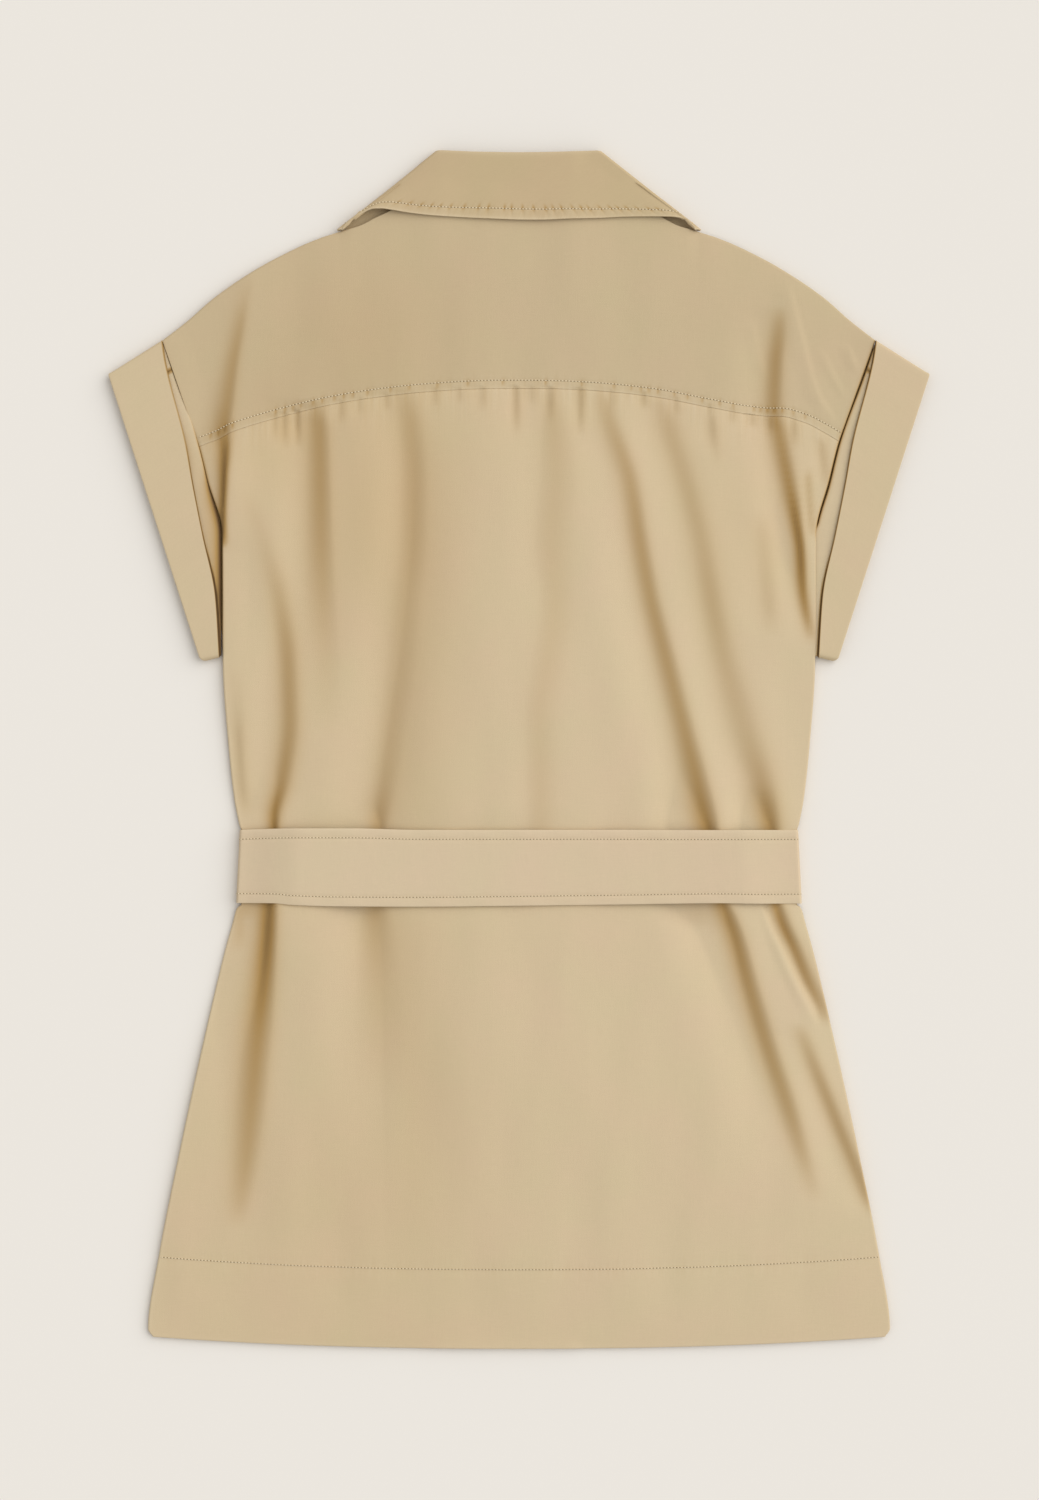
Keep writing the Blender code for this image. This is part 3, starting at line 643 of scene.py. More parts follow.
    def rim_tone(self, x: Array, y: Array, side: Array) -> Array:
        """Work out the shade painted on the armhole's edge: dark brown where the gap is open.

        Args:
            x: Places along X.
            y: Places along Y.
            side: Distances from the edge.

        Returns:
            The painted shade.
        """
        open_part = ease(self.underarm_y, self.underarm_y + 0.010, y) * (y < self.shoulder_tip.y + 0.004)
        close = np.where(x < 0, ease(self.left_flush_y - 0.010, self.left_flush_y + 0.005, y),
                         ease(self.flush_y + 0.005, self.flush_y - 0.005, y))
        return mix(self.rim_deep, self.rim_faint, close) * open_part * fading(side, self.rim_reach)

    def edge_height(self, x: Array, y: Array) -> Array:
        """Work out the height of the outer edge of the back, at the side seam or at the armhole.

        Args:
            x: Places along X.
            y: Places along Y.

        Returns:
            The heights.
        """
        armhole = ease(self.underarm_y - 0.004, self.underarm_y + 0.010, y)
        hem = ease(self.hem_y + 0.025, self.hem_y, y)
        right = ease(self.flush_y + 0.010, self.flush_y - 0.005, y)
        left = ease(self.left_flush_y - 0.015, self.left_flush_y + 0.010, y)
        flush = np.where(x > 0, right, left)
        sewn = mix(self.armhole_low - self.gap_depth * left_gap(y) * (x < 0), self.flush_height, flush)
        return mix(mix(self.seam_low, self.hem_low, hem), sewn, armhole)

    def sewn_height(self, x: Array, y: Array, side: Array | None = None,
                    shoulder: Array | None = None) -> Array:
        """Roll the outer face of the back down to its side seams and shoulders.

        Args:
            x: Places along X.
            y: Places along Y.
            side: Distances from the side, where the piece knows them.
            shoulder: Distances from the shoulder seam, where the piece knows them.

        Returns:
            The heights.
        """
        level = self.back_height(x, y)
        low = np.minimum(self.edge_height(x, y), level)
        if side is None:
            side = np.where(y <= self.shoulder_tip.y, np.maximum(self.half_width(y) - np.abs(x), 0.0), 1.0)
        rolled = mix(low, level, quarter_round(side, self.edge_radius))
        sloping = ease(self.shoulder_from, self.shoulder_full, np.abs(x)) * (y > self.shoulder_tip.y - 0.012)
        if shoulder is None:
            shoulder = np.maximum(self.yoke_top(np.abs(x)) - y, 0.0)
        down = (1 - quarter_round(shoulder, self.edge_radius)) * sloping
        return mix(rolled, np.minimum(rolled, self.seam_low + self.shoulder_drop), down)


class Value:
    """A shader socket that takes part in sums as a number does."""

    def __init__(self, canvas: "NodeCanvas", socket: bpy.types.NodeSocket) -> None:
        """Keep the socket and the canvas that new nodes go on."""
        self.canvas = canvas
        self.socket = socket

    def math(self, operation: str, *others: "Value | float", swap: bool = False) -> "Value":
        """Add a Math node on this value.

        Args:
            operation: The node's operation.
            others: The other operands.
            swap: Whether this value comes second.

        Returns:
            The node's result.
        """
        operands = (*others, self) if swap else (self, *others)
        return self.canvas.node("ShaderNodeMath", {"operation": operation}, dict(enumerate(operands)))

    def __add__(self, other: "Value | float") -> "Value":
        """Return the sum."""
        return self.math("ADD", other)

    __radd__ = __add__

    def __sub__(self, other: "Value | float") -> "Value":
        """Return the difference."""
        return self.math("SUBTRACT", other)

    def __rsub__(self, other: float) -> "Value":
        """Return the difference from a number."""
        return self.math("SUBTRACT", other, swap=True)

    def __mul__(self, other: "Value | float") -> "Value":
        """Return the product."""
        return self.math("MULTIPLY", other)

    __rmul__ = __mul__

    def other(self, output: int | str) -> "Value":
        """Return another output of the value's node."""
        return Value(self.canvas, self.socket.node.outputs[output])

    def sine(self) -> "Value":
        """Return the sine of an angle in radians."""
        return self.math("SINE")

    def held(self) -> "Value":
        """Return the value held between 0 and 1."""
        return self.math("MINIMUM", 1.0).math("MAXIMUM", 0.0)


class NodeCanvas:
    """The node tree of one material."""

    noise_roughness: ClassVar[float] = 0.55

    def __init__(self, name: str) -> None:
        """Start a material with a Principled shader.

        Args:
            name: The material's name.
        """
        self.material = bpy.data.materials.new(name)
        self.material.use_nodes = True
        self.tree = self.material.node_tree
        self.shader = self.tree.nodes["Principled BSDF"]

    def node(self, kind: str, settings: dict | None = None, inputs: dict | None = None,
             output: int | str = 0) -> Value:
        """Add a node.

        Args:
            kind: The node's type.
            settings: Its properties, which are set first.
            inputs: Values or links of its sockets, by name or number.
            output: Which output to return.

        Returns:
            The output as a value.
        """
        made = self.tree.nodes.new(kind)
        for key, setting in (settings or {}).items():
            setattr(made, key, setting)
        for key, given in (inputs or {}).items():
            if isinstance(given, Value):
                self.tree.links.new(given.socket, made.inputs[key])
            else:
                made.inputs[key].default_value = given
        return Value(self, made.outputs[output])

    def mark(self, name: str) -> Value:
        """Return a mark that the cloth carries on its points."""
        return self.node("ShaderNodeAttribute", {"attribute_name": name}, output="Fac")

    def noise(self, vector: Value, scale: float, detail: float) -> Value:
        """Return soft noise about 0, from about -0.5 to 0.5."""
        inputs = {"Vector": vector, "Scale": scale, "Detail": detail, "Roughness": self.noise_roughness}
        return self.node("ShaderNodeTexNoise", {}, inputs, "Fac") - 0.5

    def blend(self, share: Value, first: Value | tuple, second: Value | tuple) -> Value:
        """Mix two colours by a share."""
        inputs = {"Factor": share, 6: first, 7: second}
        return self.node("ShaderNodeMix", {"data_type": "RGBA"}, inputs, 2)

    def feed(self, socket: str, given: Value | float | tuple) -> None:
        """Link a value to the shader's socket, or set it there.

        Args:
            socket: The socket's name.
            given: The value, or a number or colour that is the same all over.
        """
        if isinstance(given, Value):
            self.tree.links.new(given.socket, self.shader.inputs[socket])
        else:
            self.shader.inputs[socket].default_value = given


def opaque(colour: Colour, gain: float = 1.0) -> tuple[float, float, float, float]:
    """Return a colour for a socket, made lighter or darker."""
    return (*(part * gain for part in colour), 1.0)


@dataclass(frozen=True)
class TwillCloth:
    """Matt cotton twill with fine diagonal lines and slubs, painted crease shade, and edges paled by wear
    and painted light.
    """

    name: str
    colour: Colour
    # The deep colour paints the shade in creases, the paler one stands for wear and painted light on shaded
    # rims, and the shadowed one paints the shadow in gaps.
    deep: Colour
    worn: Colour
    shadowed: Colour = (0.120, 0.066, 0.026)
    cool: Colour = (0.980, 1.008, 0.985)
    warm: Colour = (1.014, 0.988, 1.010)
    rib: float = 0.00072  # from one twill line to the next
    thread: float = 0.00036
    wander_scale: float = 140.0
    rib_wander: float = 5.0
    thread_wander: float = 4.0
    slub_scale: tuple[float, float] = (2300.0, 70.0)
    streak_scale: tuple[float, float] = (70.0, 7.0)
    tick_scale: tuple[float, float] = (310.0, 24.0)
    mottle_scale: float = 16.0
    speck_scale: float = 900.0
    hue_scale: float = 19.0
    contrast: float = 0.10  # how far the tone goes above and below the colour
    rib_shade: float = 0.05
    slub_shade: float = 0.34
    mottle_shade: float = 0.07
    streak_shade: float = 0.16
    speck_shade: float = 0.25
    hue_shade: float = 1.6
    # tick_shade paints streaks of shade in puckers
    tick_shade: float = 0.5
    # the wear numbers set how the paler colour of worn edges and of painted rim light is spread
    wear: float = 0.55
    wear_slub: float = 1.2
    wear_mottle: float = 0.8
    roughness: float = 0.84
    roughness_spread: float = 0.10
    specular: float = 0.15
    sheen: float = 0.12
    sheen_roughness: float = 0.6
    relief: float = 0.00009
    relief_strength: float = 0.35
    rib_height: float = 0.5
    thread_height: float = 0.3
    slub_height: float = 1.6
    gather_height: float = 13.0

    def material(self) -> bpy.types.Material:
        """Mix the cloth's colour with its painted shade and light, its roughness and its relief.

        Returns:
            The material.
        """
        canvas = NodeCanvas(self.name)
        grain = canvas.node("ShaderNodeUVMap", {"uv_map": "grain"})
        place = canvas.node("ShaderNodeTexCoord", output="Object")
        across = canvas.node("ShaderNodeSeparateXYZ", {}, {0: grain})
        along = across.other(1)
        wander = canvas.noise(place, self.wander_scale, 2.0)
        turn = 2 * math.pi
        rib = ((across + along) * (turn / self.rib) + wander * self.rib_wander).sine()
        warp = (across * (turn / self.thread) + wander * self.thread_wander).sine()
        weft = (along * (turn / self.thread) + wander * self.thread_wander).sine()
        slub_warp = self._slub(canvas, grain, self.slub_scale)
        slubs = slub_warp + self._slub(canvas, grain, self.slub_scale[::-1])
        streak = self._slub(canvas, grain, self.streak_scale)
        mottle = canvas.noise(place, self.mottle_scale, 4.0)
        speck = canvas.noise(place, self.speck_scale, 1.0)
        tone = slubs * self.slub_shade + mottle * self.mottle_shade + streak * self.streak_shade
        tone = (tone + speck * self.speck_shade + rib * self.rib_shade + 0.5).held()
        base = canvas.blend(tone, opaque(self.colour, 1 - self.contrast),
                            opaque(self.colour, 1 + self.contrast))
        hue = (0.5 + canvas.noise(place, self.hue_scale, 2.0) * self.hue_shade).held()
        tint = canvas.blend(hue, opaque(self.cool), opaque(self.warm))
        base = canvas.node("ShaderNodeMix", {"data_type": "RGBA", "blend_type": "MULTIPLY"},
                           {"Factor": 1.0, 6: base, 7: tint}, 2)
        # painted shade: streaks in puckers, the shade of creases, and past 1 the darker shadow of gaps
        pucker_bumps_and_shade = canvas.mark("gathered") * self._slub(canvas, grain, self.tick_scale)
        creased = canvas.mark("creased")
        base = canvas.blend((creased - pucker_bumps_and_shade * self.tick_shade).held(), base, opaque(self.deep))
        base = canvas.blend((creased - 1.0).held(), base, opaque(self.shadowed))
        # paler colour from wear of edges and from painted light on rims that face away from the light
        patchy = self.wear + slub_warp * self.wear_slub + mottle * self.wear_mottle
        wear_and_light_share = (canvas.mark("worn") * patchy).held()
        canvas.feed("Base Color", canvas.blend(wear_and_light_share, base, opaque(self.worn)))
        canvas.feed("Roughness", (self.roughness + (slub_warp + mottle) * self.roughness_spread).held())
        height = rib * self.rib_height + (warp + weft) * self.thread_height + slubs * self.slub_height
        height = height + pucker_bumps_and_shade * self.gather_height
        canvas.feed("Normal", canvas.node("ShaderNodeBump", {}, {
            "Height": height, "Strength": self.relief_strength, "Distance": self.relief}))
        canvas.feed("Sheen Weight", self.sheen)
        canvas.feed("Sheen Roughness", self.sheen_roughness)
        canvas.feed("Sheen Tint", opaque(self.deep))
        canvas.feed("Specular IOR Level", self.specular)
        return canvas.material

    @staticmethod
    def _slub(canvas: NodeCanvas, grain: Value, scale: tuple[float, float]) -> Value:
        """Return the uneven thickness of the threads that run one way."""
        stretched = canvas.node("ShaderNodeMapping", {}, {"Vector": grain, "Scale": (*scale, 1.0)})
        return canvas.noise(stretched, 1.0, 2.0)


@dataclass(frozen=True)
class SewingThread:
    """Twisted cotton thread, paler than the cloth."""

    name: str = "sewing_thread"
    colour: Colour = (0.80, 0.68, 0.47)
    darker: float = 0.82
    twist: float = 0.00045
    fuzz_scale: float = 500.0
    lightness: float = 0.55
    ply_shade: float = 0.2
    fuzz_shade: float = 0.6
    roughness: float = 0.62
    roughness_spread: float = 0.2
    specular: float = 0.2

    def material(self) -> bpy.types.Material:
        """Mix the thread's colour and roughness.

        Returns:
            The material.
        """
        canvas = NodeCanvas(self.name)
        place = canvas.node("ShaderNodeTexCoord", output="Object")
        across = canvas.node("ShaderNodeSeparateXYZ", {}, {0: place})
        ply = ((across + across.other(1)) * (2 * math.pi / self.twist)).sine()
        fuzz = canvas.noise(place, self.fuzz_scale, 2.0)
        tone = (self.lightness + ply * self.ply_shade + fuzz * self.fuzz_shade).held()
        canvas.feed("Base Color", canvas.blend(tone, opaque(self.colour, self.darker), opaque(self.colour)))
        canvas.feed("Roughness", (self.roughness + fuzz * self.roughness_spread).held())
        canvas.feed("Specular IOR Level", self.specular)
        return canvas.material


@dataclass(frozen=True)
class PlainSurface:
    """A matt surface of one colour with faint mottling."""

    name: str
    colour: Colour
    darker: float
    mottle_scale: float
    mottle_detail: float
    mottle_shade: float
    specular: float
    roughness: float = 0.9

    def material(self) -> bpy.types.Material:
        """Mix the surface's colour.

        Returns:
            The material.
        """
        canvas = NodeCanvas(self.name)
        place = canvas.node("ShaderNodeTexCoord", output="Object")
        mottle = canvas.noise(place, self.mottle_scale, self.mottle_detail)
        tone = (0.5 + mottle * self.mottle_shade).held()
        canvas.feed("Base Color", canvas.blend(tone, opaque(self.colour, self.darker), opaque(self.colour)))
        canvas.feed("Roughness", self.roughness)
        canvas.feed("Specular IOR Level", self.specular)
        return canvas.material


# the needle holes are dark brown balls that paint the shade inside each hole
NEEDLE_HOLE_SHADE = PlainSurface("needle_hole", (0.16, 0.085, 0.030), darker=0.7, mottle_scale=700.0,
                           mottle_detail=1.0, mottle_shade=1.0, specular=0.05)
STUDIO_FLOOR = PlainSurface("studio_floor", (0.816, 0.776, 0.716), darker=0.985, mottle_scale=3.0,
                            mottle_detail=2.0, mottle_shade=0.5, specular=0.1)


@dataclass
class Patch:
    """The points of a piece of cloth, row by row, with its grain, marks of wear, and painted light and
    shade.
    """

    x: Array
    y: Array
    z: Array
    across: Array
    along: Array
    worn: Array
    creased: Array
    gathered: Array

    @classmethod
    def lay(cls, x: Array, y: Array, z: Array, worn: Array | float = 0.0, creased: Array | float = 0.0,
            gathered: Array | float = 0.0) -> "Patch":
        """Collect a patch, with the grain along X and Y.

        Args:
            x: Places along X, by row and column.
            y: Places along Y.
            z: Heights.
            worn: Wear of edges, and painted light on rims that face away from the light, from 0 to 1.
            creased: Painted shade: 1 at the bottom of a crease, and 2 the painted shadow in a gap.
            gathered: Puckering beside a line of stitches, for relief and painted shade, from 0 to 1.

        Returns:
            The patch.
        """
        spread = [np.broadcast_to(part, x.shape) for part in (y, z, x, y, worn, creased, gathered)]
        return cls(x, *spread)

    def points(self) -> Array:
        """Return the points as rows of columns of three numbers."""
        return np.stack([self.x, self.y, self.z], axis=-1)

    def measured(self) -> "Patch":
        """Lay the grain by lengths on the cloth, from its first column and its first row.

        Returns:
            The patch itself.
        """
        points = self.points()
        lengths = []
        for axis in (1, 0):
            strides = np.linalg.norm(np.diff(points, axis=axis), axis=-1)
            start = np.zeros_like(np.take(strides, [0], axis=axis))
            lengths.append(np.concatenate([start, np.cumsum(strides, axis=axis)], axis=axis))
        self.across, self.along = lengths
        return self


class ClothPiece:
    """One piece of cloth of the coat: a grid of points that gets a wall and a rounded rim."""

    name: str
    node: str
    slot: str = "coat_cloth"
    cloth: Cloth = Cloth.LENGTHWISE
    wall: float = CoatForm.wall
    ring: bool = False
    flip: bool = False
    weld: float = 0.00001
    rim_share: float = 0.38  # how much of the wall its rounded rim takes
    rim_angle: float = math.radians(70)
    face: Patch

    def patch(self) -> Patch:
        """Return the piece's outer face."""
        raise NotImplementedError

    def build(self, finish: bpy.types.Material) -> bpy.types.Object:
        """Make the piece and put it on the coat.

        Args:
            finish: Its material.

        Returns:
            The new object.
        """
        self.face = self.patch()
        piece = bpy.data.objects.new(self.name, self._mesh(self.face))
        piece.data.materials.append(finish)
        bpy.context.collection.objects.link(piece)
        thicken = piece.modifiers.new("Wall", "SOLIDIFY")
        thicken.thickness = self.wall
        thicken.offset = -1.0
        thicken.use_quality_normals = True
        rim = piece.modifiers.new("Rim", "BEVEL")
        rim.width = self.wall * self.rim_share
        rim.segments = 2
        rim.limit_method = "ANGLE"
        rim.angle_limit = self.rim_angle
        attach(piece, "root")
        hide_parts(self.node)
        log.info("%s: %d x %d points", self.name, *self.face.x.shape)
        return piece

    def _mesh(self, face: Patch) -> bpy.types.Mesh:
        """Make the mesh of the outer face, with its grain and its marks of wear, painted light and painted
        shade.

        Args:
            face: The points.

        Returns:
            The mesh.
        """
        rows, columns = (count - 1 for count in face.x.shape)
        grid = bmesh.new()
        bmesh.ops.create_grid(grid, x_segments=columns, y_segments=rows, size=0.5)
        mesh = bpy.data.meshes.new(self.name)
        grid.to_mesh(mesh)
        grid.free()
        flat = np.empty(len(mesh.vertices) * 3, np.float32)
        mesh.vertices.foreach_get("co", flat)
        flat = flat.reshape(-1, 3) + 0.5
        spot = (np.rint(flat[:, 1] * rows).astype(int), np.rint(flat[:, 0] * columns).astype(int))
        mesh.vertices.foreach_set("co", face.points()[spot].astype(np.float32).ravel())
        corner = np.empty(len(mesh.loops), np.int32)
        mesh.loops.foreach_get("vertex_index", corner)
        grain = np.stack([face.across[spot], face.along[spot]], axis=-1)[corner]
        mesh.uv_layers.new(name="grain").data.foreach_set("uv", grain.astype(np.float32).ravel())
        for mark in ("worn", "creased", "gathered"):
            shade = mesh.attributes.new(mark, "FLOAT", "POINT")
            shade.data.foreach_set("value", getattr(face, mark)[spot].astype(np.float32))
        self._close(mesh)
        mesh.shade_smooth()
        mesh.update()
        return mesh

    def _close(self, mesh: bpy.types.Mesh) -> None:
        """Weld the seam of a ring, and turn the faces outwards.

        Args:
            mesh: The mesh to close.
        """
        if not (self.ring or self.flip):
            return
        grid = bmesh.new()
        grid.from_mesh(mesh)
        if self.ring:
            bmesh.ops.remove_doubles(grid, verts=grid.verts, dist=self.weld)
        if self.flip:
            bmesh.ops.reverse_faces(grid, faces=grid.faces)
        grid.to_mesh(mesh)
        grid.free()


def steps(*stops: tuple[float, int]) -> Array:
    """Space places through a row of stops.

    Args:
        stops: Each stop with the number of steps that lead to it.

    Returns:
        The places.
    """
    places = [np.array([stops[0][0]])]
    for (start, _), (end, count) in zip(stops, stops[1:]):
        places.append(np.linspace(start, end, count + 1)[1:])
    return np.concatenate(places)


TICK_WIDTH = 0.0010
GROOVE_WIDTH = 0.0009


def ticks(places: Sequence[float], x: Array, away: Array, reach: float) -> Array:
    """Return small puckers across a line of stitches, from 0 to 1.

    Args:
        places: Where along X the puckers lie, in millimetres.
        x: Places along X.
        away: Distances from the middle of the puckers.
        reach: Half length of a pucker.

    Returns:
        How deep the puckers are.
    """
    return sum(bump(x - place * MM, TICK_WIDTH) for place in places) * bump(away, reach)


def groove(away: Array, depth: float) -> Array:
    """Return how deep a line of stitches is drawn in, by the distance from it."""
    return depth * bump(away, GROOVE_WIDTH)


EDGE_STEPS = np.array([0.0, 0.00012, 0.00045, 0.00095, 0.00170, 0.00320, 0.00580])


def edged(half: Array, columns: int) -> Array:
    """Return places from -half to half with fine steps at both ends.

    Args:
        half: Half widths of the rows, as a column.
        columns: How many even steps lie between the fine ones.

    Returns:
        The places, row by row.
    """
    inside = half - EDGE_STEPS[-1]
    middle = np.linspace(-1, 1, columns + 1)[1:-1][None, :] * inside
    left = -half + EDGE_STEPS[None, :]
    return np.concatenate([left, middle, -left[:, ::-1]], axis=1)


@dataclass
class BackPanel(ClothPiece):
    """The back from the yoke seam to the hem, with its hem folded up inside."""

    form: CoatForm
    name: str = "back_panel_cloth"
    node: str = "back_panel"
    columns: int = 244
    stops: tuple[tuple[float, int], ...] = (
        (-0.4300, 6), (-0.3800, 11), (-0.3000, 17), (-0.1500, 36), (-0.1225, 9), (-0.1195, 2), (-0.1165, 2),
        (-0.1100, 3), (-0.0650, 8), (-0.0590, 2), (-0.0560, 2), (-0.0530, 2), (0.0000, 14), (0.1500, 33),
        (0.2200, 17), (0.2284, 5),
    )
    stitch_y: float = -0.3800
    stitch_row: int = 0
    groove_depth: float = 0.0004
    hem_radius: float = 0.0008
    hem_inside: float = 0.0060
    hem_wear: float = 0.0015
    hem_gather: float = 0.006
    # reach of the paler left rim: painted light on the side that faces away from the light
    side_wear: float = 0.0012
    seam_dip: float = 0.0002
    seam_reach: float = 0.0025
    seam_gather: float = 0.012
    waver_from: float = 0.15  # the seam's wavering dies out down to here
    tuck: float = 0.0024
    tuck_drop: float = 0.00075
    tuck_rows: tuple[float, ...] = (0.2, 0.5, 1.0)  # shares of the tuck
    tuck_sunk: tuple[float, ...] = (0.5, 0.85, 1.0)  # and of its drop

    def patch(self) -> Patch:
        """Lay the outer face, from the fold of the hem to the edge tucked under the yoke.

        Returns:
            The face.
        """
        form, radius = self.form, self.hem_radius
        turn = np.radians(np.linspace(180, 0, 8))
        inside = np.array([self.hem_inside, self.hem_inside / 2])
        rows = steps((form.hem_y + radius, 0), *self.stops)[1:]
        lower = np.full(len(inside) + len(turn), form.hem_y)
        upper = np.full(len(self.tuck_rows), form.yoke_seam.y)
        side_y = np.concatenate([lower, rows, upper])[:, None]
        self.stitch_row = int(np.argmin(np.abs(side_y - self.stitch_y)))
        moved = np.concatenate([radius + inside, radius * (1 - np.sin(turn)), np.zeros(len(rows)),
                                self.tuck * np.array(self.tuck_rows)])[:, None]
        folded = np.concatenate([np.ones(len(inside)), (1 - np.cos(turn)) / 2,
                                 np.zeros(len(rows) + len(upper))])[:, None]
        tucked = np.concatenate([np.zeros(len(lower) + len(rows)), self.tuck_sunk])[:, None]
        half = form.half_width(side_y)
        x = edged(half, self.columns)
        y = side_y - form.crown(side_y) * (1 - np.abs(x / half) ** form.crown_power)
        y = y + form.seam_waver(x) * ease(self.waver_from, form.yoke_seam.y, side_y)
        seam = np.maximum(y[-1 - len(upper)] - y, 0.0)
        y = y + moved
        side = half - np.abs(x)
        outer = form.sewn_height(x, y, side)
        outer = outer - self.seam_dip * fading(seam, self.seam_reach) - self.tuck_drop * tucked
        stitched = y - y[self.stitch_row]
        z = outer - folded * np.minimum(2 * radius, np.maximum(outer - form.seam_low, 0.0))
        z = z - groove(stitched, self.groove_depth)
        gathered = fading(seam, self.seam_gather) + 0.5 * bump(stitched, self.hem_gather)
        hem = np.maximum(y - y[len(inside) + len(turn) // 2], 0.0)
        # paler hem from wear, and painted light on the left rim, which faces away from the light
        shaded_left_rim = (x < 0) * (y < form.underarm_y)
        worn = 0.4 * fading(hem, self.hem_wear) + 0.8 * fading(side, self.side_wear) * shaded_left_rim
        # painted shade of the creases and of the armhole's gap
        creased = form.depth_of_tone(x, y) + form.rim_tone(x, y, side)
        return Patch.lay(x, y, z, np.clip(worn, 0.0, 1.0), np.clip(creased, 0.0, 2.0), gathered)


@dataclass
class BackYoke(ClothPiece):
    """The yoke over both shoulders, lapped and topstitched on the back."""

    form: CoatForm
    name: str = "back_yoke_cloth"
    node: str = "back_yoke"
    cloth: Cloth = Cloth.CROSSWISE
    wall: float = 0.0005
    columns: int = 380
    spacing_half: float = 0.25  # half width at which the columns are spaced
    seam_rows: tuple[float, ...] = (0.0, 0.0004, 0.0010, 0.0020, 0.0035, 0.0048, 0.0060, 0.0072, 0.0090)
    even_share: float = 0.93
    even_rows: int = 42
    shoulder_rows: tuple[float, ...] = (0.955, 0.975, 0.988, 0.996, 1.0)
    lap: float = 0.0003
    rise: float = 0.00012
    rise_reach: float = 0.004
    stitch_offset: float = 0.0060
    stitch_row: int = 6
    groove_depth: float = 0.00036
    edge_wear: float = 0.0012
    gather_offset: float = 0.0035
    gather_width: float = 0.006
    pinch_offset: float = 0.0045
    pinch_reach: float = 0.0024
    pinch_depth: float = 0.00026
    # painted shade in the puckers below the seam
    pinch_tone: float = 0.60
    tick_places: tuple[float, ...] = (
        -231, -225, -220, -214, -182, -175, -169, -163, -154, -147, -138, -131, -124, -113, -96, -82, -61,
        -38, -12, 20, 47, 71, 84, 91, 97, 104, 116, 126, 137, 150, 160, 176, 181, 186, 191, 197, 205, 214,
    )

    def patch(self) -> Patch:
        """Lay the outer face, from the seam on the back to the neck and the shoulders.

        Returns:
            The face.
        """
        form, seam, tip = self.form, self.form.yoke_seam, self.form.shoulder_tip
        offsets = np.array(self.seam_rows)
        shares = np.concatenate([np.linspace(0, self.even_share, self.even_rows)[1:], self.shoulder_rows])
        across = edged(np.full((1, 1), self.spacing_half), self.columns) / self.spacing_half
        seam_x = across * seam.half_width
        seam_y = seam.y - seam.crown * (1 - np.abs(across) ** form.crown_power) + self.lap
        seam_y = seam_y + form.seam_waver(seam_x)
        top_x = across * tip.half_width
        top_y = form.yoke_top(np.abs(top_x))
        near = offsets[:, None] / (top_y - seam_y)
        share = np.concatenate([near, mix(near[-1:], 1.0, shares[:, None])])
        x, y = mix(seam_x, top_x, share), mix(seam_y, top_y, share)
        side = (1 - np.abs(across)) * mix(seam.half_width, tip.half_width, share)
        away = y - seam_y
        pinched = ticks(self.tick_places, x, away - self.pinch_offset, self.pinch_reach)
        z = form.sewn_height(x, y, side, top_y - y) + self.rise * fading(away, self.rise_reach)
        z = z - groove(away - self.stitch_offset, self.groove_depth) - self.pinch_depth * pinched
        worn = 0.5 * fading(away, self.edge_wear)
        gathered = 0.8 * bump(away - self.gather_offset, self.gather_width)
        # painted shade of the creases, of the armhole's edge and of the puckers
        creased = form.depth_of_tone(x, y) + form.rim_tone(x, y, side) + self.pinch_tone * pinched
        return Patch.lay(x, y, z, worn, np.clip(creased, 0.0, 2.0), gathered)


FRONT_CREASES = (
    Crease((200, 60, 8), (120, 68, 8, 0, 0.5), (0, 84, 8, 0, 0.7), (-40, 90, 8), left=20, right=16),
    Crease((-140, 60, 9), (-220, 74, 9, 0, 0.8), (-340, 98, 9, 0, 0.5), (-400, 104, 9), left=20, right=18),
    Crease((180, 150, 7), (90, 140, 7, 0, 0.6), (-40, 150, 7), left=20, right=14),
    Crease((-130, 168, 8), (-240, 190, 8, 0, 0.7), (-390, 214, 8), left=20, right=16),
)


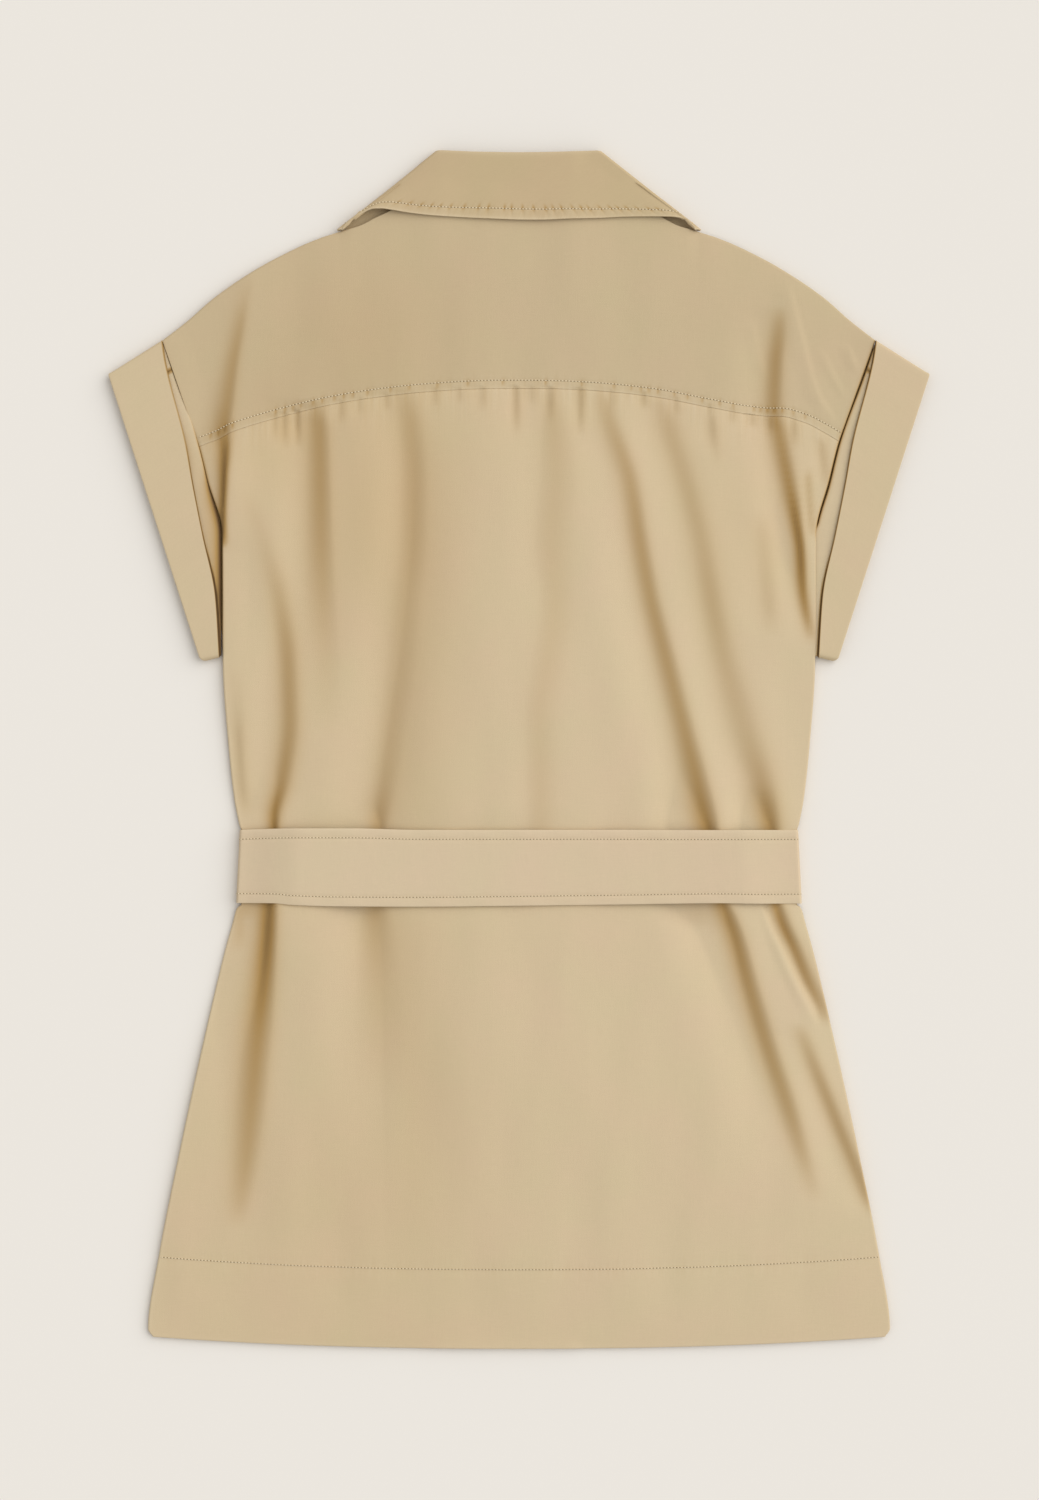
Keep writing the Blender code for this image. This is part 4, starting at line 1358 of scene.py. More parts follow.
@dataclass
class Front(ClothPiece):
    """One front, lying face down under the back."""

    form: CoatForm
    side: Side
    columns: int = 56
    stops: tuple[tuple[float, int], ...] = (
        (-0.4340, 2), (-0.3800, 9), (-0.1504, 34), (-0.1225, 8), (-0.1165, 4), (-0.0590, 10), (-0.0530, 4),
        (0.0670, 20), (0.2284, 26), (0.3064, 15), (0.3975, 20),
    )
    stitch_y: float = -0.3800
    stitch_row: int = 0
    neck_break_y: float = 0.2400
    neck_point: Point = Point(0.1050, 0.4040)
    allowance: float = 0.0022  # what runs on under the sleeve
    allowance_from: tuple[float, float] = (0.080, 0.100)
    allowance_end: float = 0.020
    # painted shadow on the strip that shows in the gap under the sleeve
    allowance_tone: float = 1.3
    curl: float = 0.0005
    curl_radius: float = 0.0016

    def __post_init__(self) -> None:
        """Name the piece for its side."""
        self.node = f"front_{self.side.word}"
        self.name = f"{self.node}_cloth"
        self.flip = self.side is Side.RIGHT

    def patch(self) -> Patch:
        """Lay the outer face, which is the lower one, from the hem to the shoulder.

        Returns:
            The face.
        """
        form, tip_y = self.form, self.form.shoulder_tip.y
        side_y = steps((form.hem_y, 0), *self.stops)[:, None]
        self.stitch_row = int(np.argmin(np.abs(side_y - self.stitch_y)))
        outer = np.where(side_y <= tip_y, form.half_width(side_y), form.shoulder_width(side_y))
        sewn = ease(*self.allowance_from, side_y) * ease(tip_y, tip_y - self.allowance_end, side_y)
        outer = outer + self.allowance * sewn
        neck = np.maximum(side_y - self.neck_break_y, 0.0) / (self.neck_point.y - self.neck_break_y)
        inner = mix(-form.front_lap_half, self.neck_point.x, neck)
        edge = np.minimum(EDGE_STEPS[None, :], (outer - inner) * np.linspace(0, 0.4, len(EDGE_STEPS)))
        even = mix(inner, outer - edge[:, -1:], np.linspace(0, 1, self.columns + 1)[None, :-1])
        across = np.concatenate([even, (outer - edge)[:, ::-1]], axis=1)
        from_edge = outer - across
        y = side_y - np.maximum(form.crown(side_y), 0.0) * (1 - np.abs(across / outer) ** form.crown_power)
        x = self.side.value * across
        lift = form.front_lap(x) if self.side is Side.LEFT else 0.0
        creases = sum(crease.relief(across, y) for crease in FRONT_CREASES)
        curl = self.curl * (1 - quarter_round(from_edge, self.curl_radius))
        z = form.front_floor(x, y) + lift + np.maximum(creases, 0.0) + curl
        # painted shadow on the strip that shows in the gap under the sleeve
        strip = ease(2.5 * self.allowance, 1.5 * self.allowance, from_edge)
        return Patch.lay(x, y, z, creased=self.allowance_tone * sewn * strip)


@dataclass
class CollarFall(ClothPiece):
    """The fall of the collar: rolled over at the neck, spread on the back, carried round to the fronts."""

    form: CoatForm
    name: str = "collar_fall_cloth"
    node: str = "collar_fall"
    cloth: Cloth = Cloth.CROSSWISE
    wall: float = 0.0010
    flip: bool = True
    fold_half: float = 0.0580
    tip: Point = Point(0.1325, 0.3892)
    front_roll: Point = Point(0.0150, 0.3000)
    front_point: Point = Point(0.0750, 0.2870)
    lift: float = 0.0023
    roll_radius: float = 0.00115
    roll_under: float = 0.0080
    run_steps: int = 280
    bend_steps: int = 10
    front_steps: int = 16
    leaf_steps: int = 34
    border: tuple[float, ...] = (0.0125, 0.0102, 0.0091, 0.0080, 0.0069, 0.0055, 0.0036, 0.0020, 0.0008, 0.0)
    stitch_offset: float = 0.0080
    stitch_row: int = 0
    groove_depth: float = 0.00040
    tone: float = 0.24
    edge_wear: float = 0.0016
    fold_wear: float = 0.003
    gather_offset: float = 0.0070
    gather_width: float = 0.0055
    pinch_offset: float = 0.0062
    pinch_reach: float = 0.0038
    pinch_depth: float = 0.00032
    mark_offset: float = 0.0085  # the painted pucker shade is darkest here
    mark_reach: float = 0.0024
    mark_tone: float = 0.75
    edge_rise: float = 0.0005
    edge_power: float = 6.0
    end_power: float = 3.2
    sway: float = 0.0004
    sway_pace: float = 52.0
    sway_start: float = 0.8
    edge_line: Curve = Curve([
        (-132.5, 389.2), (-126.5, 396.0), (-113, 403.5), (-109, 404.4), (-103.5, 404.4), (-96, 403.5),
        (-80.6, 401.0), (-65, 399.2), (-41, 397.7), (-27, 397.0), (7.5, 395.9), (17, 395.9), (36, 396.6),
        (60, 397.3), (79, 398.3), (98.5, 398.5), (113, 398.3), (125, 396.8), (132.5, 389.2)], MM)
    fold_line: Curve = Curve([(-58, 448.3), (-30, 447.2), (0, 446.8), (30, 447.2), (58, 448.3)], MM)
    end_lift: Curve = Curve([
        (-132.5, 0), (-121, 0.8), (-106, 2.5), (-94, 1.5), (-80, 0.5), (-60, 0.1), (60, 0.1), (85, 0.3),
        (104, 0.9), (116, 1.5), (124, 0.8), (132.5, 0)], MM)
    tick_places: tuple[float, ...] = (
        -97, -88, -79, -71, -64, -56, -45, -33, -25, -12, -6, 3, 12, 22, 28, 35, 44, 51, 57, 66, 74, 80, 87,
        95, 104, 111,
    )

    def stations(self) -> tuple[Array, Array, Array]:
        """Walk along the collar from one front leaf over the back to the other.

        Returns:
            Roll points, edge points, and turns: half a pi on the back, and minus that on the floor.
        """
        share = np.linspace(-1, 1, self.run_steps)
        roll_x, edge_x = share * self.fold_half, share * self.tip.x
        roll = np.stack([roll_x, self.fold_line(roll_x)], axis=-1)
        edge = np.stack([edge_x, self.edge_line(edge_x)], axis=-1)
        turn = np.linspace(math.pi / 2, -math.pi / 2, self.bend_steps + 1)[1:]
        walk = np.linspace(0, 1, self.front_steps + 1)[1:, None]
        under_roll = np.concatenate([np.repeat(roll[-1:], len(turn), axis=0),
                                     mix(roll[-1:], np.array([self.front_roll]), walk)])
        under_edge = np.concatenate([np.repeat(edge[-1:], len(turn), axis=0),
                                     mix(edge[-1:], np.array([self.front_point]), walk)])
        under_turn = np.concatenate([turn, np.full(len(walk), -math.pi / 2)])
        mirror = np.array([-1.0, 1.0])
        return (np.concatenate([under_roll[::-1] * mirror, roll, under_roll]),
                np.concatenate([under_edge[::-1] * mirror, edge, under_edge]),
                np.concatenate([under_turn[::-1], np.full(self.run_steps, math.pi / 2), under_turn]))

    def patch(self) -> Patch:
        """Lay the outer face, from the strip under the roll to the free edge.

        Returns:
            The face.
        """
        form, radius = self.form, self.roll_radius
        roll, edge, turn = self.stations()
        span = np.linalg.norm(edge - roll, axis=-1)[None, :]
        under = np.array([self.roll_under, self.roll_under / 2])
        curl = np.radians(np.linspace(180, 0, 8))
        border = np.array(self.border)[:, None]
        body = np.linspace(0, 1, self.leaf_steps)[1:-1, None]
        leaf = np.concatenate([mix(radius, span - border[0], body), span - border])
        start = np.concatenate([radius + under, radius * (1 - np.sin(curl))])[:, None]
        distance = np.concatenate([np.repeat(start, len(turn), axis=1), leaf])
        drop = np.concatenate([np.full(len(under), 2 * radius), radius * (1 - np.cos(curl)),
                               np.zeros(len(leaf))])
        self.stitch_row = len(start) + len(body) + self.border.index(self.stitch_offset)
        share = distance / span
        from_edge = span - distance
        edge_x = edge[None, :, 0]
        x = mix(roll[None, :, 0], edge_x, share)
        y = mix(roll[None, :, 1], edge[None, :, 1], share)
        on_back = (turn > math.pi / 2 - 0.001)[None, :]
        side = np.sign(x)
        hold = np.where(on_back, x, side * mix(self.fold_half, self.tip.x, share))
        hold_y = np.where(on_back, y, mix(self.fold_line(self.fold_half), self.tip.y, share))
        top = form.back_height(hold, hold_y) + self.lift + self.relief(edge_x, share, from_edge)
        half = top / 2
        arm = half - drop[:, None]
        x = x + side * np.cos(turn)[None, :] * arm
        z = half + np.sin(turn)[None, :] * arm
        # paler edge and fold: wear, and painted highlight on the rolled edge
        worn = fading(from_edge, self.edge_wear) + 0.5 * bump(distance, self.fold_wear)
        gathered = bump(from_edge - self.gather_offset, self.gather_width)
        # painted shade in the puckers along the stitching, added to a darker colour over the whole collar
        pucker_shade = ticks(self.tick_places, edge_x, from_edge - self.mark_offset, self.mark_reach)
        creased = np.clip(self.tone + self.mark_tone * pucker_shade, 0.0, 1.0)
        return Patch.lay(x, y, z, np.clip(worn, 0, 1) * 0.8, creased, gathered).measured()

    def relief(self, edge_x: Array, share: Array, from_edge: Array) -> Array:
        """Work out how far the leaf stands off the back: stitching, puckered border and lifted ends.

        Args:
            edge_x: Where along the collar's edge each place belongs.
            share: Shares of the way from the roll to the edge.
            from_edge: Distances from the edge.

        Returns:
            The heights.
        """
        near = np.clip(share, 0.0, 1.0)
        pinched = ticks(self.tick_places, edge_x, from_edge - self.pinch_offset, self.pinch_reach)
        rise = self.edge_rise * near ** self.edge_power + self.end_lift(edge_x) * near ** self.end_power
        sway = self.sway * np.sin(edge_x * self.sway_pace + self.sway_start) * near ** 2
        drawn_in = groove(from_edge - self.stitch_offset, self.groove_depth)
        return rise + sway - drawn_in - self.pinch_depth * pinched


@dataclass
class CollarStand(ClothPiece):
    """The band of the collar under the fall."""

    form: CoatForm
    name: str = "collar_stand_cloth"
    node: str = "collar_stand"
    columns: int = 60
    rows: int = 13
    seam_half: float = 0.0970
    fold_half: float = 0.0640
    seam_y: float = 0.4123
    top_y: float = 0.4365

    def patch(self) -> Patch:
        """Lay the outer face, from the neck seam up to the strip under the roll of the fall.

        Returns:
            The face.
        """
        across = np.linspace(-1, 1, self.columns + 1)[None, :]
        share = np.linspace(0, 1, self.rows)[:, None]
        x = across * mix(self.seam_half, self.fold_half, share)
        y = np.broadcast_to(mix(self.seam_y, self.top_y, share), x.shape)
        return Patch.lay(x, y, self.form.back_height(x, y))


@dataclass
class SleeveEnd(ClothPiece):
    """A flattened tube of the sleeve: the short sleeve itself, or the cuff turned up on it."""

    side: Side
    node: str
    inner: Curve
    floor: float
    inner_top: float
    hem_top: float
    hem_inset: float = 0.0
    end_inset: float = 0.0
    fold_radius: float = 0.0
    seam_drop: float = 0.0
    seam_radius: float = 0.0014
    edge_wave: float = 0.0
    wave_reach: float = 0.012
    wave_pace: float = 21.0
    wave_start: float = 0.7
    cover: Curve | None = None  # edge of the cuff that lies on the sleeve
    rows: int = 22
    edge_rows: tuple[float, ...] = (0.0, 0.004, 0.012, 0.024)
    first_row: float = 0.04
    open_rows: tuple[float, ...] = (0.0, 0.015, 0.04, 0.08, 0.15, 0.28, 0.42, 0.56, 0.70, 0.82, 0.90,
                                    0.94, 0.97, 0.985)
    covered_rows: int = 13
    run_steps: int = 84
    cap: float = 0.012
    length: float = 0.2300
    first_y: float = 0.3064
    last_y: float = 0.0690
    hem_shoulder: Point = Point(0.3080, 0.2824)
    hem_underarm: Point = Point(0.2385, 0.0664)
    ring: bool = True
    corner: float = 0.0030
    inside_rows: tuple[float, ...] = (0.0005, 0.0008)
    gap_depth: float = 0.0014
    right_tuck: float = 0.0026
    left_tuck: float = 0.0005
    tack_y: float = 0.2835  # where the cuff is tacked down, with shade painted in its fold
    smudge_y: float = 0.224

    def __post_init__(self) -> None:
        """Name the piece for its node."""
        self.name = f"{self.node}_cloth"
        self.flip = self.side is Side.LEFT

    def sunk(self, y: Array) -> Array:
        """Work out how deep the sleeve is drawn in along the armhole.

        Args:
            y: Places along the armhole.

        Returns:
            The depths: most in the gap on the left, nothing low down on the right.
        """
        if self.side is Side.RIGHT:
            return self.seam_drop * ease(0.155, 0.170, y)
        if self.cover is None:
            return self.seam_drop + 0.0 * y
        return self.seam_drop + self.gap_depth * left_gap(y)

    def tucked(self, y: Array) -> Array:
        """Work out how far the sleeve runs on under the back, where its armhole lies close.

        Args:
            y: Places along the armhole.

        Returns:
            The lengths.
        """
        if self.cover is None:
            return 0.0 * y
        if self.side is Side.RIGHT:
            return self.right_tuck * ease(0.170, 0.160, y)
        return self.left_tuck * ease(0.225, 0.248, y)

    def shading(self, x: Array, y: Array, edge_y: Array, from_edge: Array) -> Array:
        """Work out the shade painted on the piece.

        Args:
            x: Places along X, as on the right side.
            y: Places along Y.
            edge_y: Where along the armhole each place belongs.
            from_edge: Distances from the inner edge.

        Returns:
            The painted shade: brown along the seam and the edge of the cuff, in the fold where the cuff is
                tacked down, and on the left sleeve's strip below the back.
        """
        left = self.side is Side.LEFT
        upper_left = ease(0.190, 0.240, y) * left
        if self.cover is None:
            # the cuff: painted shade along its inner edge
            return 0.05 + mix(1.8, 1.0, upper_left) * ease(0.0007, 0.0002, from_edge)
        # painted shadow along the seam, widest where the left gap is open
        if left:
            reach = mix(0.0004, 0.0022, left_gap(y))
            seam = mix(1.7, 0.5, ease(0.230, 0.246, edge_y)) * fading(from_edge, reach)
        else:
            seam = 1.7 * ease(0.155, 0.175, edge_y) * fading(from_edge, 0.0007)
        # painted shade along the cuff's edge, in the tacked fold, beside the cuff's edge on the left, and on
        # the left strip below the back's edge
        to_cuff = np.abs(x - self.cover(edge_y))
        wide = mix(1.0, 1.8, ease(0.170, 0.120, y))
        line = mix(1.9, 1.1, upper_left) * ease(0.0011, 0.0004, to_cuff / wide)
        tack_shade = 1.7 * ease(0.0024, 0.0006, np.abs(y - self.tack_y))
        cuff_edge_shade = 0.45 * bump(y - self.smudge_y, 0.018) * fading(to_cuff, 0.004)
        low = (cuff_edge_shade + ease(0.235, 0.150, y) * (0.25 + 0.85 * fading(from_edge, 0.0050))) * left
        return np.clip(np.maximum(np.maximum(seam, line), tack_shade) + low, 0.0, 2.0)

    def shares(self, inner_x: Array, hem_x: Array, edge_y: Array) -> Array:
        """Space the rows between the inner edge and the hem, close together where lines run.

        Args:
            inner_x: The inner edge.
            hem_x: The hem.
            edge_y: Where along the armhole each place belongs.

        Returns:
            Shares of the way, by row and place along the ring.
        """
        if self.cover is None:
            even = np.concatenate([self.edge_rows, np.linspace(self.first_row, 1.0, self.rows)])
            return even[:, None] + 0.0 * inner_x
        line = np.clip((self.cover(edge_y) - inner_x) / (hem_x - inner_x), 0.02, 0.9)
        covered = np.linspace(0, 1, self.covered_rows)[:, None]
        return np.concatenate([line * np.array(self.open_rows)[:, None], mix(line, 1.0, covered)])

    def loop(self) -> tuple[Array, Array]:
        """Walk once round the flattened ring.

        Returns:
            Places along the armhole, from 0 to 1, and ups and downs, from 1 to -1.
        """
        run = np.linspace(self.cap, 1 - self.cap, self.run_steps)
        turn = np.radians(np.linspace(90, -90, 9)[1:-1])
        end = self.cap * (1 - np.cos(turn))
        along = np.concatenate([run, 1 - end, run[::-1], end, run[:1]])
        up = np.concatenate([np.ones_like(run), np.sin(turn), -np.ones_like(run), -np.sin(turn), [1.0]])
        return along, up

    def patch(self) -> Patch:
        """Lay the outer face, from the inner edge to the hem and round its fold.

        Returns:
            The face.
        """
        along, up = self.loop()
        radius = self.fold_radius
        curl = np.radians(np.linspace(0, 180, 9)[1:]) if radius else np.empty(0)
        inside = np.array(self.inside_rows if radius else ())
        level = len(self.edge_rows) + self.rows
        if self.cover is not None:
            level = len(self.open_rows) + self.covered_rows
        outward = np.concatenate([np.zeros(level), radius * np.sin(curl), -inside])
        tight = np.concatenate([np.zeros(level), radius * (1 - np.cos(curl)),
                                np.full(len(inside), 2 * radius)])[:, None]
        inset = self.end_inset + tight / self.length
        place = mix(inset, 1 - inset, along[None, :])
        edge_y = mix(self.first_y, self.last_y, place)
        inner_x = self.inner(edge_y) - self.tucked(edge_y)
        end = np.minimum(place, 1 - place) * self.length
        rounded = self.corner * (1 - quarter_round(end, self.corner))
        hem_x = mix(self.hem_shoulder.x, self.hem_underarm.x, place) - self.hem_inset - radius - rounded
        hem_y = mix(self.hem_shoulder.y, self.hem_underarm.y, place)
        share = np.ones_like(place)
        share[:level] = self.shares(inner_x[:1], hem_x[:1], edge_y[:1])
        x = mix(inner_x, hem_x, share) + outward[:, None]
        y = mix(edge_y, hem_y, share)
        from_edge = np.maximum(x - inner_x, 0.0)
        seam = self.sunk(edge_y) * (1 - quarter_round(from_edge, self.seam_radius))
        half = (mix(self.inner_top, self.hem_top, share) - self.floor) / 2
        wave = self.edge_wave * fading(from_edge, self.wave_reach) * (up > 0.9)
        wave = wave * np.sin(place * self.wave_pace + self.wave_start)
        z = self.floor + half + up[None, :] * (half - tight - seam) + wave
        worn = 0.0
        # paler fold of the left cuff, which faces away from the light: painted light
        if radius and self.side is Side.LEFT:
            worn = 0.7 * ease(0.0, 0.8, outward / radius)[:, None]
        creased = self.shading(x, y, edge_y, from_edge)
        return Patch.lay(self.side.value * x, y, z, worn, creased).measured()


@dataclass
class Belt(ClothPiece):
    """The belt: one stiffened band round the waist, its ends lapped under the front."""

    form: CoatForm
    name: str = "belt_cloth"
    node: str = "belt"
    slot: str = "belt_cloth"
    cloth: Cloth = Cloth.BELTING
    wall: float = 0.0015
    flip: bool = True
    half: float = 0.21035
    taper: float = 0.00135
    bridge: float = 0.045
    clearance: float = 0.0002
    lap_clear: float = 0.0003  # the upper end is at its full height this far before the lower one starts
    scan_half: float = 0.225
    scan_steps: int = 451
    scan_lines: int = 12
    scan_margin: float = 0.002
    end_height: float = 0.0080
    end_reach: float = 0.0020
    end_settle: float = 0.045
    run_steps: int = 230
    bend_steps: int = 14
    floor_steps: int = 90
    border: tuple[float, ...] = (0.0, 0.0008, 0.0022, 0.0042, 0.0058, 0.0070, 0.0082, 0.0102, 0.0140)
    middle_steps: int = 10
    stitch_line: float = 0.0070
    stitch_rows: tuple[int, int] = (0, 0)
    groove_depth: float = 0.00042
    crown: float = 0.0004
    crown_reach: float = 0.0050
    quilt: float = 0.00016
    quilt_pace: float = 190.0
    quilt_start: float = 0.6
    quilt_offset: float = 0.0035
    quilt_width: float = 0.003
    edge_wear: float = 0.0012
    gather_width: float = 0.005
    lower_line: Curve = Curve([(-211, -114.8), (-183, -114.8), (-168, -116), (-135, -117), (-75, -117.3),
                               (0, -116.6), (76, -115.7), (149, -114.8), (181, -115.2), (211, -115.2)], MM)
    upper_line: Curve = Curve([(-211, -60.2), (-168, -58.9), (-125, -58.9), (-75, -60.0), (75, -60.0),
                               (126, -60.2), (211, -60.2)], MM)

    def heights(self, x: Array) -> Array:
        """Work out the height of the belt's outer face, which spans the troughs of the back.

        Args:
            x: Places along X.

        Returns:
            The heights.
        """
        form = self.form
        fine = np.linspace(-self.scan_half, self.scan_half, self.scan_steps)
        lines = np.linspace(form.belt_low_y - self.scan_margin, form.belt_high_y + self.scan_margin,
                            self.scan_lines)[:, None]
        below = form.sewn_height(fine[None, :], lines).max(axis=0)
        reach = int(round(self.bridge / (fine[1] - fine[0])))
        padded = np.pad(below, reach, mode="edge")
        spanned = np.max([padded[k:k + len(fine)] for k in range(2 * reach + 1)], axis=0)
        weights = np.hanning(2 * reach + 3)[1:-1]
        soft = np.convolve(np.pad(spanned, reach, mode="edge"), weights / weights.sum(), mode="valid")
        return np.interp(x, fine, np.maximum(soft, below)) + form.belt_layer + self.clearance

    def route(self) -> tuple[Array, Array, Array]:
        """Walk along the belt's outer face, from its first end to its last.

        Returns:
            Places along X, heights, and 1 where it is on top of the coat.
        """
        form = self.form
        radius = self.end_height / 2
        straight = self.half - self.end_reach
        turn = np.linspace(-math.pi / 2, math.pi / 2, self.bend_steps + 1)[1:-1]
        first = np.linspace(form.belt_lap_from, straight, self.floor_steps)
        run = np.linspace(straight, -straight, self.run_steps)
        last = np.linspace(-straight, form.belt_lap_to, self.floor_steps)
        lap = form.belt_lap_from
        climb = form.belt_layer * ease(lap - form.belt_lap_rise, lap - self.lap_clear, last)
        out, up = self.end_reach * np.cos(turn), radius * (1 + np.sin(turn))
        settle = ease(0.0, self.end_settle, straight - np.abs(run))
        height = mix(2 * radius, self.heights(run), settle)
        x = np.concatenate([first, straight + out, run, -straight - out[::-1], last])
        z = np.concatenate([np.zeros_like(first), up, height, up[::-1], climb])
        top = np.concatenate([np.zeros_like(first), np.ones(len(out) * 2 + len(run)), np.zeros_like(last)])
        return x, z, top

    def patch(self) -> Patch:
        """Lay the outer face, from the lower to the upper edge.

        Returns:
            The face.
        """
        x, z, top = self.route()
        low, high = self.lower_line(x), self.upper_line(x)
        border = np.array(self.border)[:, None]
        middle = np.linspace(0, 1, self.middle_steps)[1:-1, None]
        y = np.concatenate([low + border, mix(low + border[-1], high - border[-1], middle),
                            high - border[::-1]])
        row = self.border.index(self.stitch_line)
        self.stitch_rows = (row, len(y) - 1 - row)
        share = (y - low) / (high - low)
        bent = 1 + (0.5 - share) * 2 * self.taper / self.half
        edge = np.minimum(y - low, high - y)
        crown = self.crown * quarter_round(edge, self.crown_reach) - self.crown
        drawn_in = groove(edge - self.stitch_line, self.groove_depth)
        wave = np.sin(x * self.quilt_pace + self.quilt_start)
        quilt = self.quilt * wave * bump(edge - self.quilt_offset, self.quilt_width)
        height = z + top * (crown - drawn_in + quilt)
        worn = 0.5 * fading(edge, self.edge_wear)
        gathered = 0.35 * bump(edge - self.stitch_line, self.gather_width)
        return Patch.lay(x * bent, y, height, worn, 0.0, gathered).measured()


@dataclass
class Topstitching:
    """Lines of topstitching: rows of short stitches, with a dark ball of painted shade for the needle hole
    between each two.
    """

    name: str
    slot: str = "coat_cloth"
    pitch: float = 0.0025
    stitch: float = 0.0017
    thread: float = 0.00092
    hole: float = 0.00054
    hole_depth: float = 0.5
    proud: float = 0.55
    sunk: float = 0.00006

    def build(self, lines: Sequence[tuple[Array, Array]], thread: bpy.types.Material,
              hole: bpy.types.Material) -> bpy.types.Object:
        """Sew the lines.

        Args:
            lines: Points and outward directions along each line.
            thread: The thread's material.
            hole: The material of the painted shade in the needle holes.

        Returns:
            The new object.
        """
        sewing = bmesh.new()
        count = 0
        for points, normals in lines:
            count += self._sew(sewing, points, normals)
        mesh = bpy.data.meshes.new(self.name)
        sewing.to_mesh(mesh)
        sewing.free()
        mesh.shade_smooth()
        mesh.materials.append(thread)
        mesh.materials.append(hole)
        piece = bpy.data.objects.new(self.name, mesh)
        bpy.context.collection.objects.link(piece)
        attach(piece, "root")
        log.info("%s: %d stitches", self.name, count)
        return piece

    def _sew(self, sewing: bmesh.types.BMesh, points: Array, normals: Array) -> int:
        """Add the stitches and needle holes of one line.

        Args:
            sewing: The mesh that they go into.
            points: Points along the line.
            normals: Outward directions there.

        Returns:
            How many stitches there are.
        """
        run = np.concatenate([[0.0], np.cumsum(np.linalg.norm(np.diff(points, axis=0), axis=1))])
        count = int(run[-1] / self.pitch)
        pace = run[-1] / max(count, 1)
        middles = (np.arange(count) + 0.5) * pace

        def at(place: Array, table: Array) -> Array:
            """Read a table of points at places along the line."""
            return np.stack([np.interp(place, run, table[:, k]) for k in range(3)], axis=-1)

        ahead = at(middles + self.stitch / 2, points) - at(middles - self.stitch / 2, points)
        gaps = at(middles + pace / 2, points)
        stamp, single = bmesh.new(), bpy.data.meshes.new("stitch")
        for centre, gap, way, out in zip(at(middles, points), gaps, ahead, at(middles, normals)):
            seat = self._seat(gap, way, out, self.hole, self.hole * self.hole_depth)
            bmesh.ops.create_icosphere(stamp, subdivisions=1, radius=1.0, matrix=seat)
            for face in stamp.faces:
                face.material_index = 1
            seat = self._seat(centre, way, out, self.stitch / 2, self.thread / 2)
            bmesh.ops.create_uvsphere(stamp, u_segments=6, v_segments=4, radius=1.0, matrix=seat)
            stamp.to_mesh(single)
            sewing.from_mesh(single)
            stamp.clear()
        stamp.free()
        bpy.data.meshes.remove(single)
        return count

    def _seat(self, centre: Array, way: Array, out: Array, reach: float, radius: float) -> Matrix:
        """Work out the place of a stitch or hole.

        Args:
            centre: Its middle.
            way: The direction of its length.
            out: The outward direction of the cloth.
            reach: Half its length.
            radius: Half its thickness.

        Returns:
            The matrix that puts a ball of radius 1 there.
        """
        along = Vector(way).normalized()
        up = Vector(out)
        up = (up - along * up.dot(along)).normalized()
        across = up.cross(along)
        seat = Matrix((across * radius, up * radius, along * reach)).transposed().to_4x4()
        seat.translation = Vector(centre) + up * (radius * self.proud - self.sunk)
        return seat


def sewn_row(piece: ClothPiece, row: int, columns: slice = slice(None)) -> tuple[Array, Array]:
    """Return the points and outward directions of one row of a piece.

    Args:
        piece: A piece that has been built.
        row: The row that is sewn.
        columns: The part of the row that is sewn.

    Returns:
        Points and directions.
    """
    points = piece.face.points()
    along = np.gradient(points[row], axis=0)
    across = points[row + 1] - points[row - 1]
    normal = np.cross(along, across) * (-1.0 if piece.flip else 1.0)
    normal /= np.maximum(np.linalg.norm(normal, axis=-1, keepdims=True), 1e-12)
    return points[row][columns], normal[columns]


@dataclass
class Studio:
    """The floor, the soft light and the camera over the coat."""

    floor_half: float = 40.0
    floor_z: float = -0.0009
    camera_place: tuple[float, float, float] = (0.0004, -0.0004, 2.656)
    lens: float = 85.0
    sensor: float = 36.0
    sun_strength: float = 1.84
    sun_angle: float = math.radians(70)
    sun_from: tuple[float, float, float] = (0.660, 0.350, 0.665)
    sky: Colour = (0.64, 0.64, 0.64)

    def build(self) -> None:
        """Set up the floor, the lights and the camera."""
        self._floor()
        self._light()
        self._camera()

    def _floor(self) -> None:
        """Make the floor."""
        grid = bmesh.new()
        bmesh.ops.create_grid(grid, x_segments=4, y_segments=4, size=self.floor_half)
        bmesh.ops.translate(grid, verts=grid.verts, vec=(0.0, 0.0, self.floor_z))
        mesh = bpy.data.meshes.new("floor")
        grid.to_mesh(mesh)
        grid.free()
        mesh.materials.append(STUDIO_FLOOR.material())
        floor = bpy.data.objects.new("floor", mesh)
        bpy.context.collection.objects.link(floor)

    def _light(self) -> None:
        """Make the broad light from the upper right and the even light of the room round it."""
        sun = bpy.data.lights.new("soft_key", "SUN")
        sun.energy = self.sun_strength
        sun.angle = self.sun_angle
        key = bpy.data.objects.new("soft_key", sun)
        key.rotation_mode = "QUATERNION"
        key.rotation_quaternion = Vector(self.sun_from).to_track_quat("Z", "Y")
        bpy.context.collection.objects.link(key)
        scene = bpy.context.scene
        world = bpy.data.worlds.new("room")
        world.use_nodes = True
        sky = world.node_tree.nodes["Background"]
        sky.inputs["Color"].default_value = opaque(self.sky)
        sky.inputs["Strength"].default_value = 1.0
        scene.world = world
        scene.view_settings.view_transform = "Standard"
        scene.view_settings.look = "None"

    def _camera(self) -> None:
        """Hang the camera straight over the coat."""
        lens = bpy.data.cameras.new("camera")
        lens.lens = self.lens
        lens.sensor_width = self.sensor
        lens.dof.use_dof = False
        camera = bpy.data.objects.new("camera", lens)
        camera.location = self.camera_place
        bpy.context.collection.objects.link(camera)
        bpy.context.scene.camera = camera


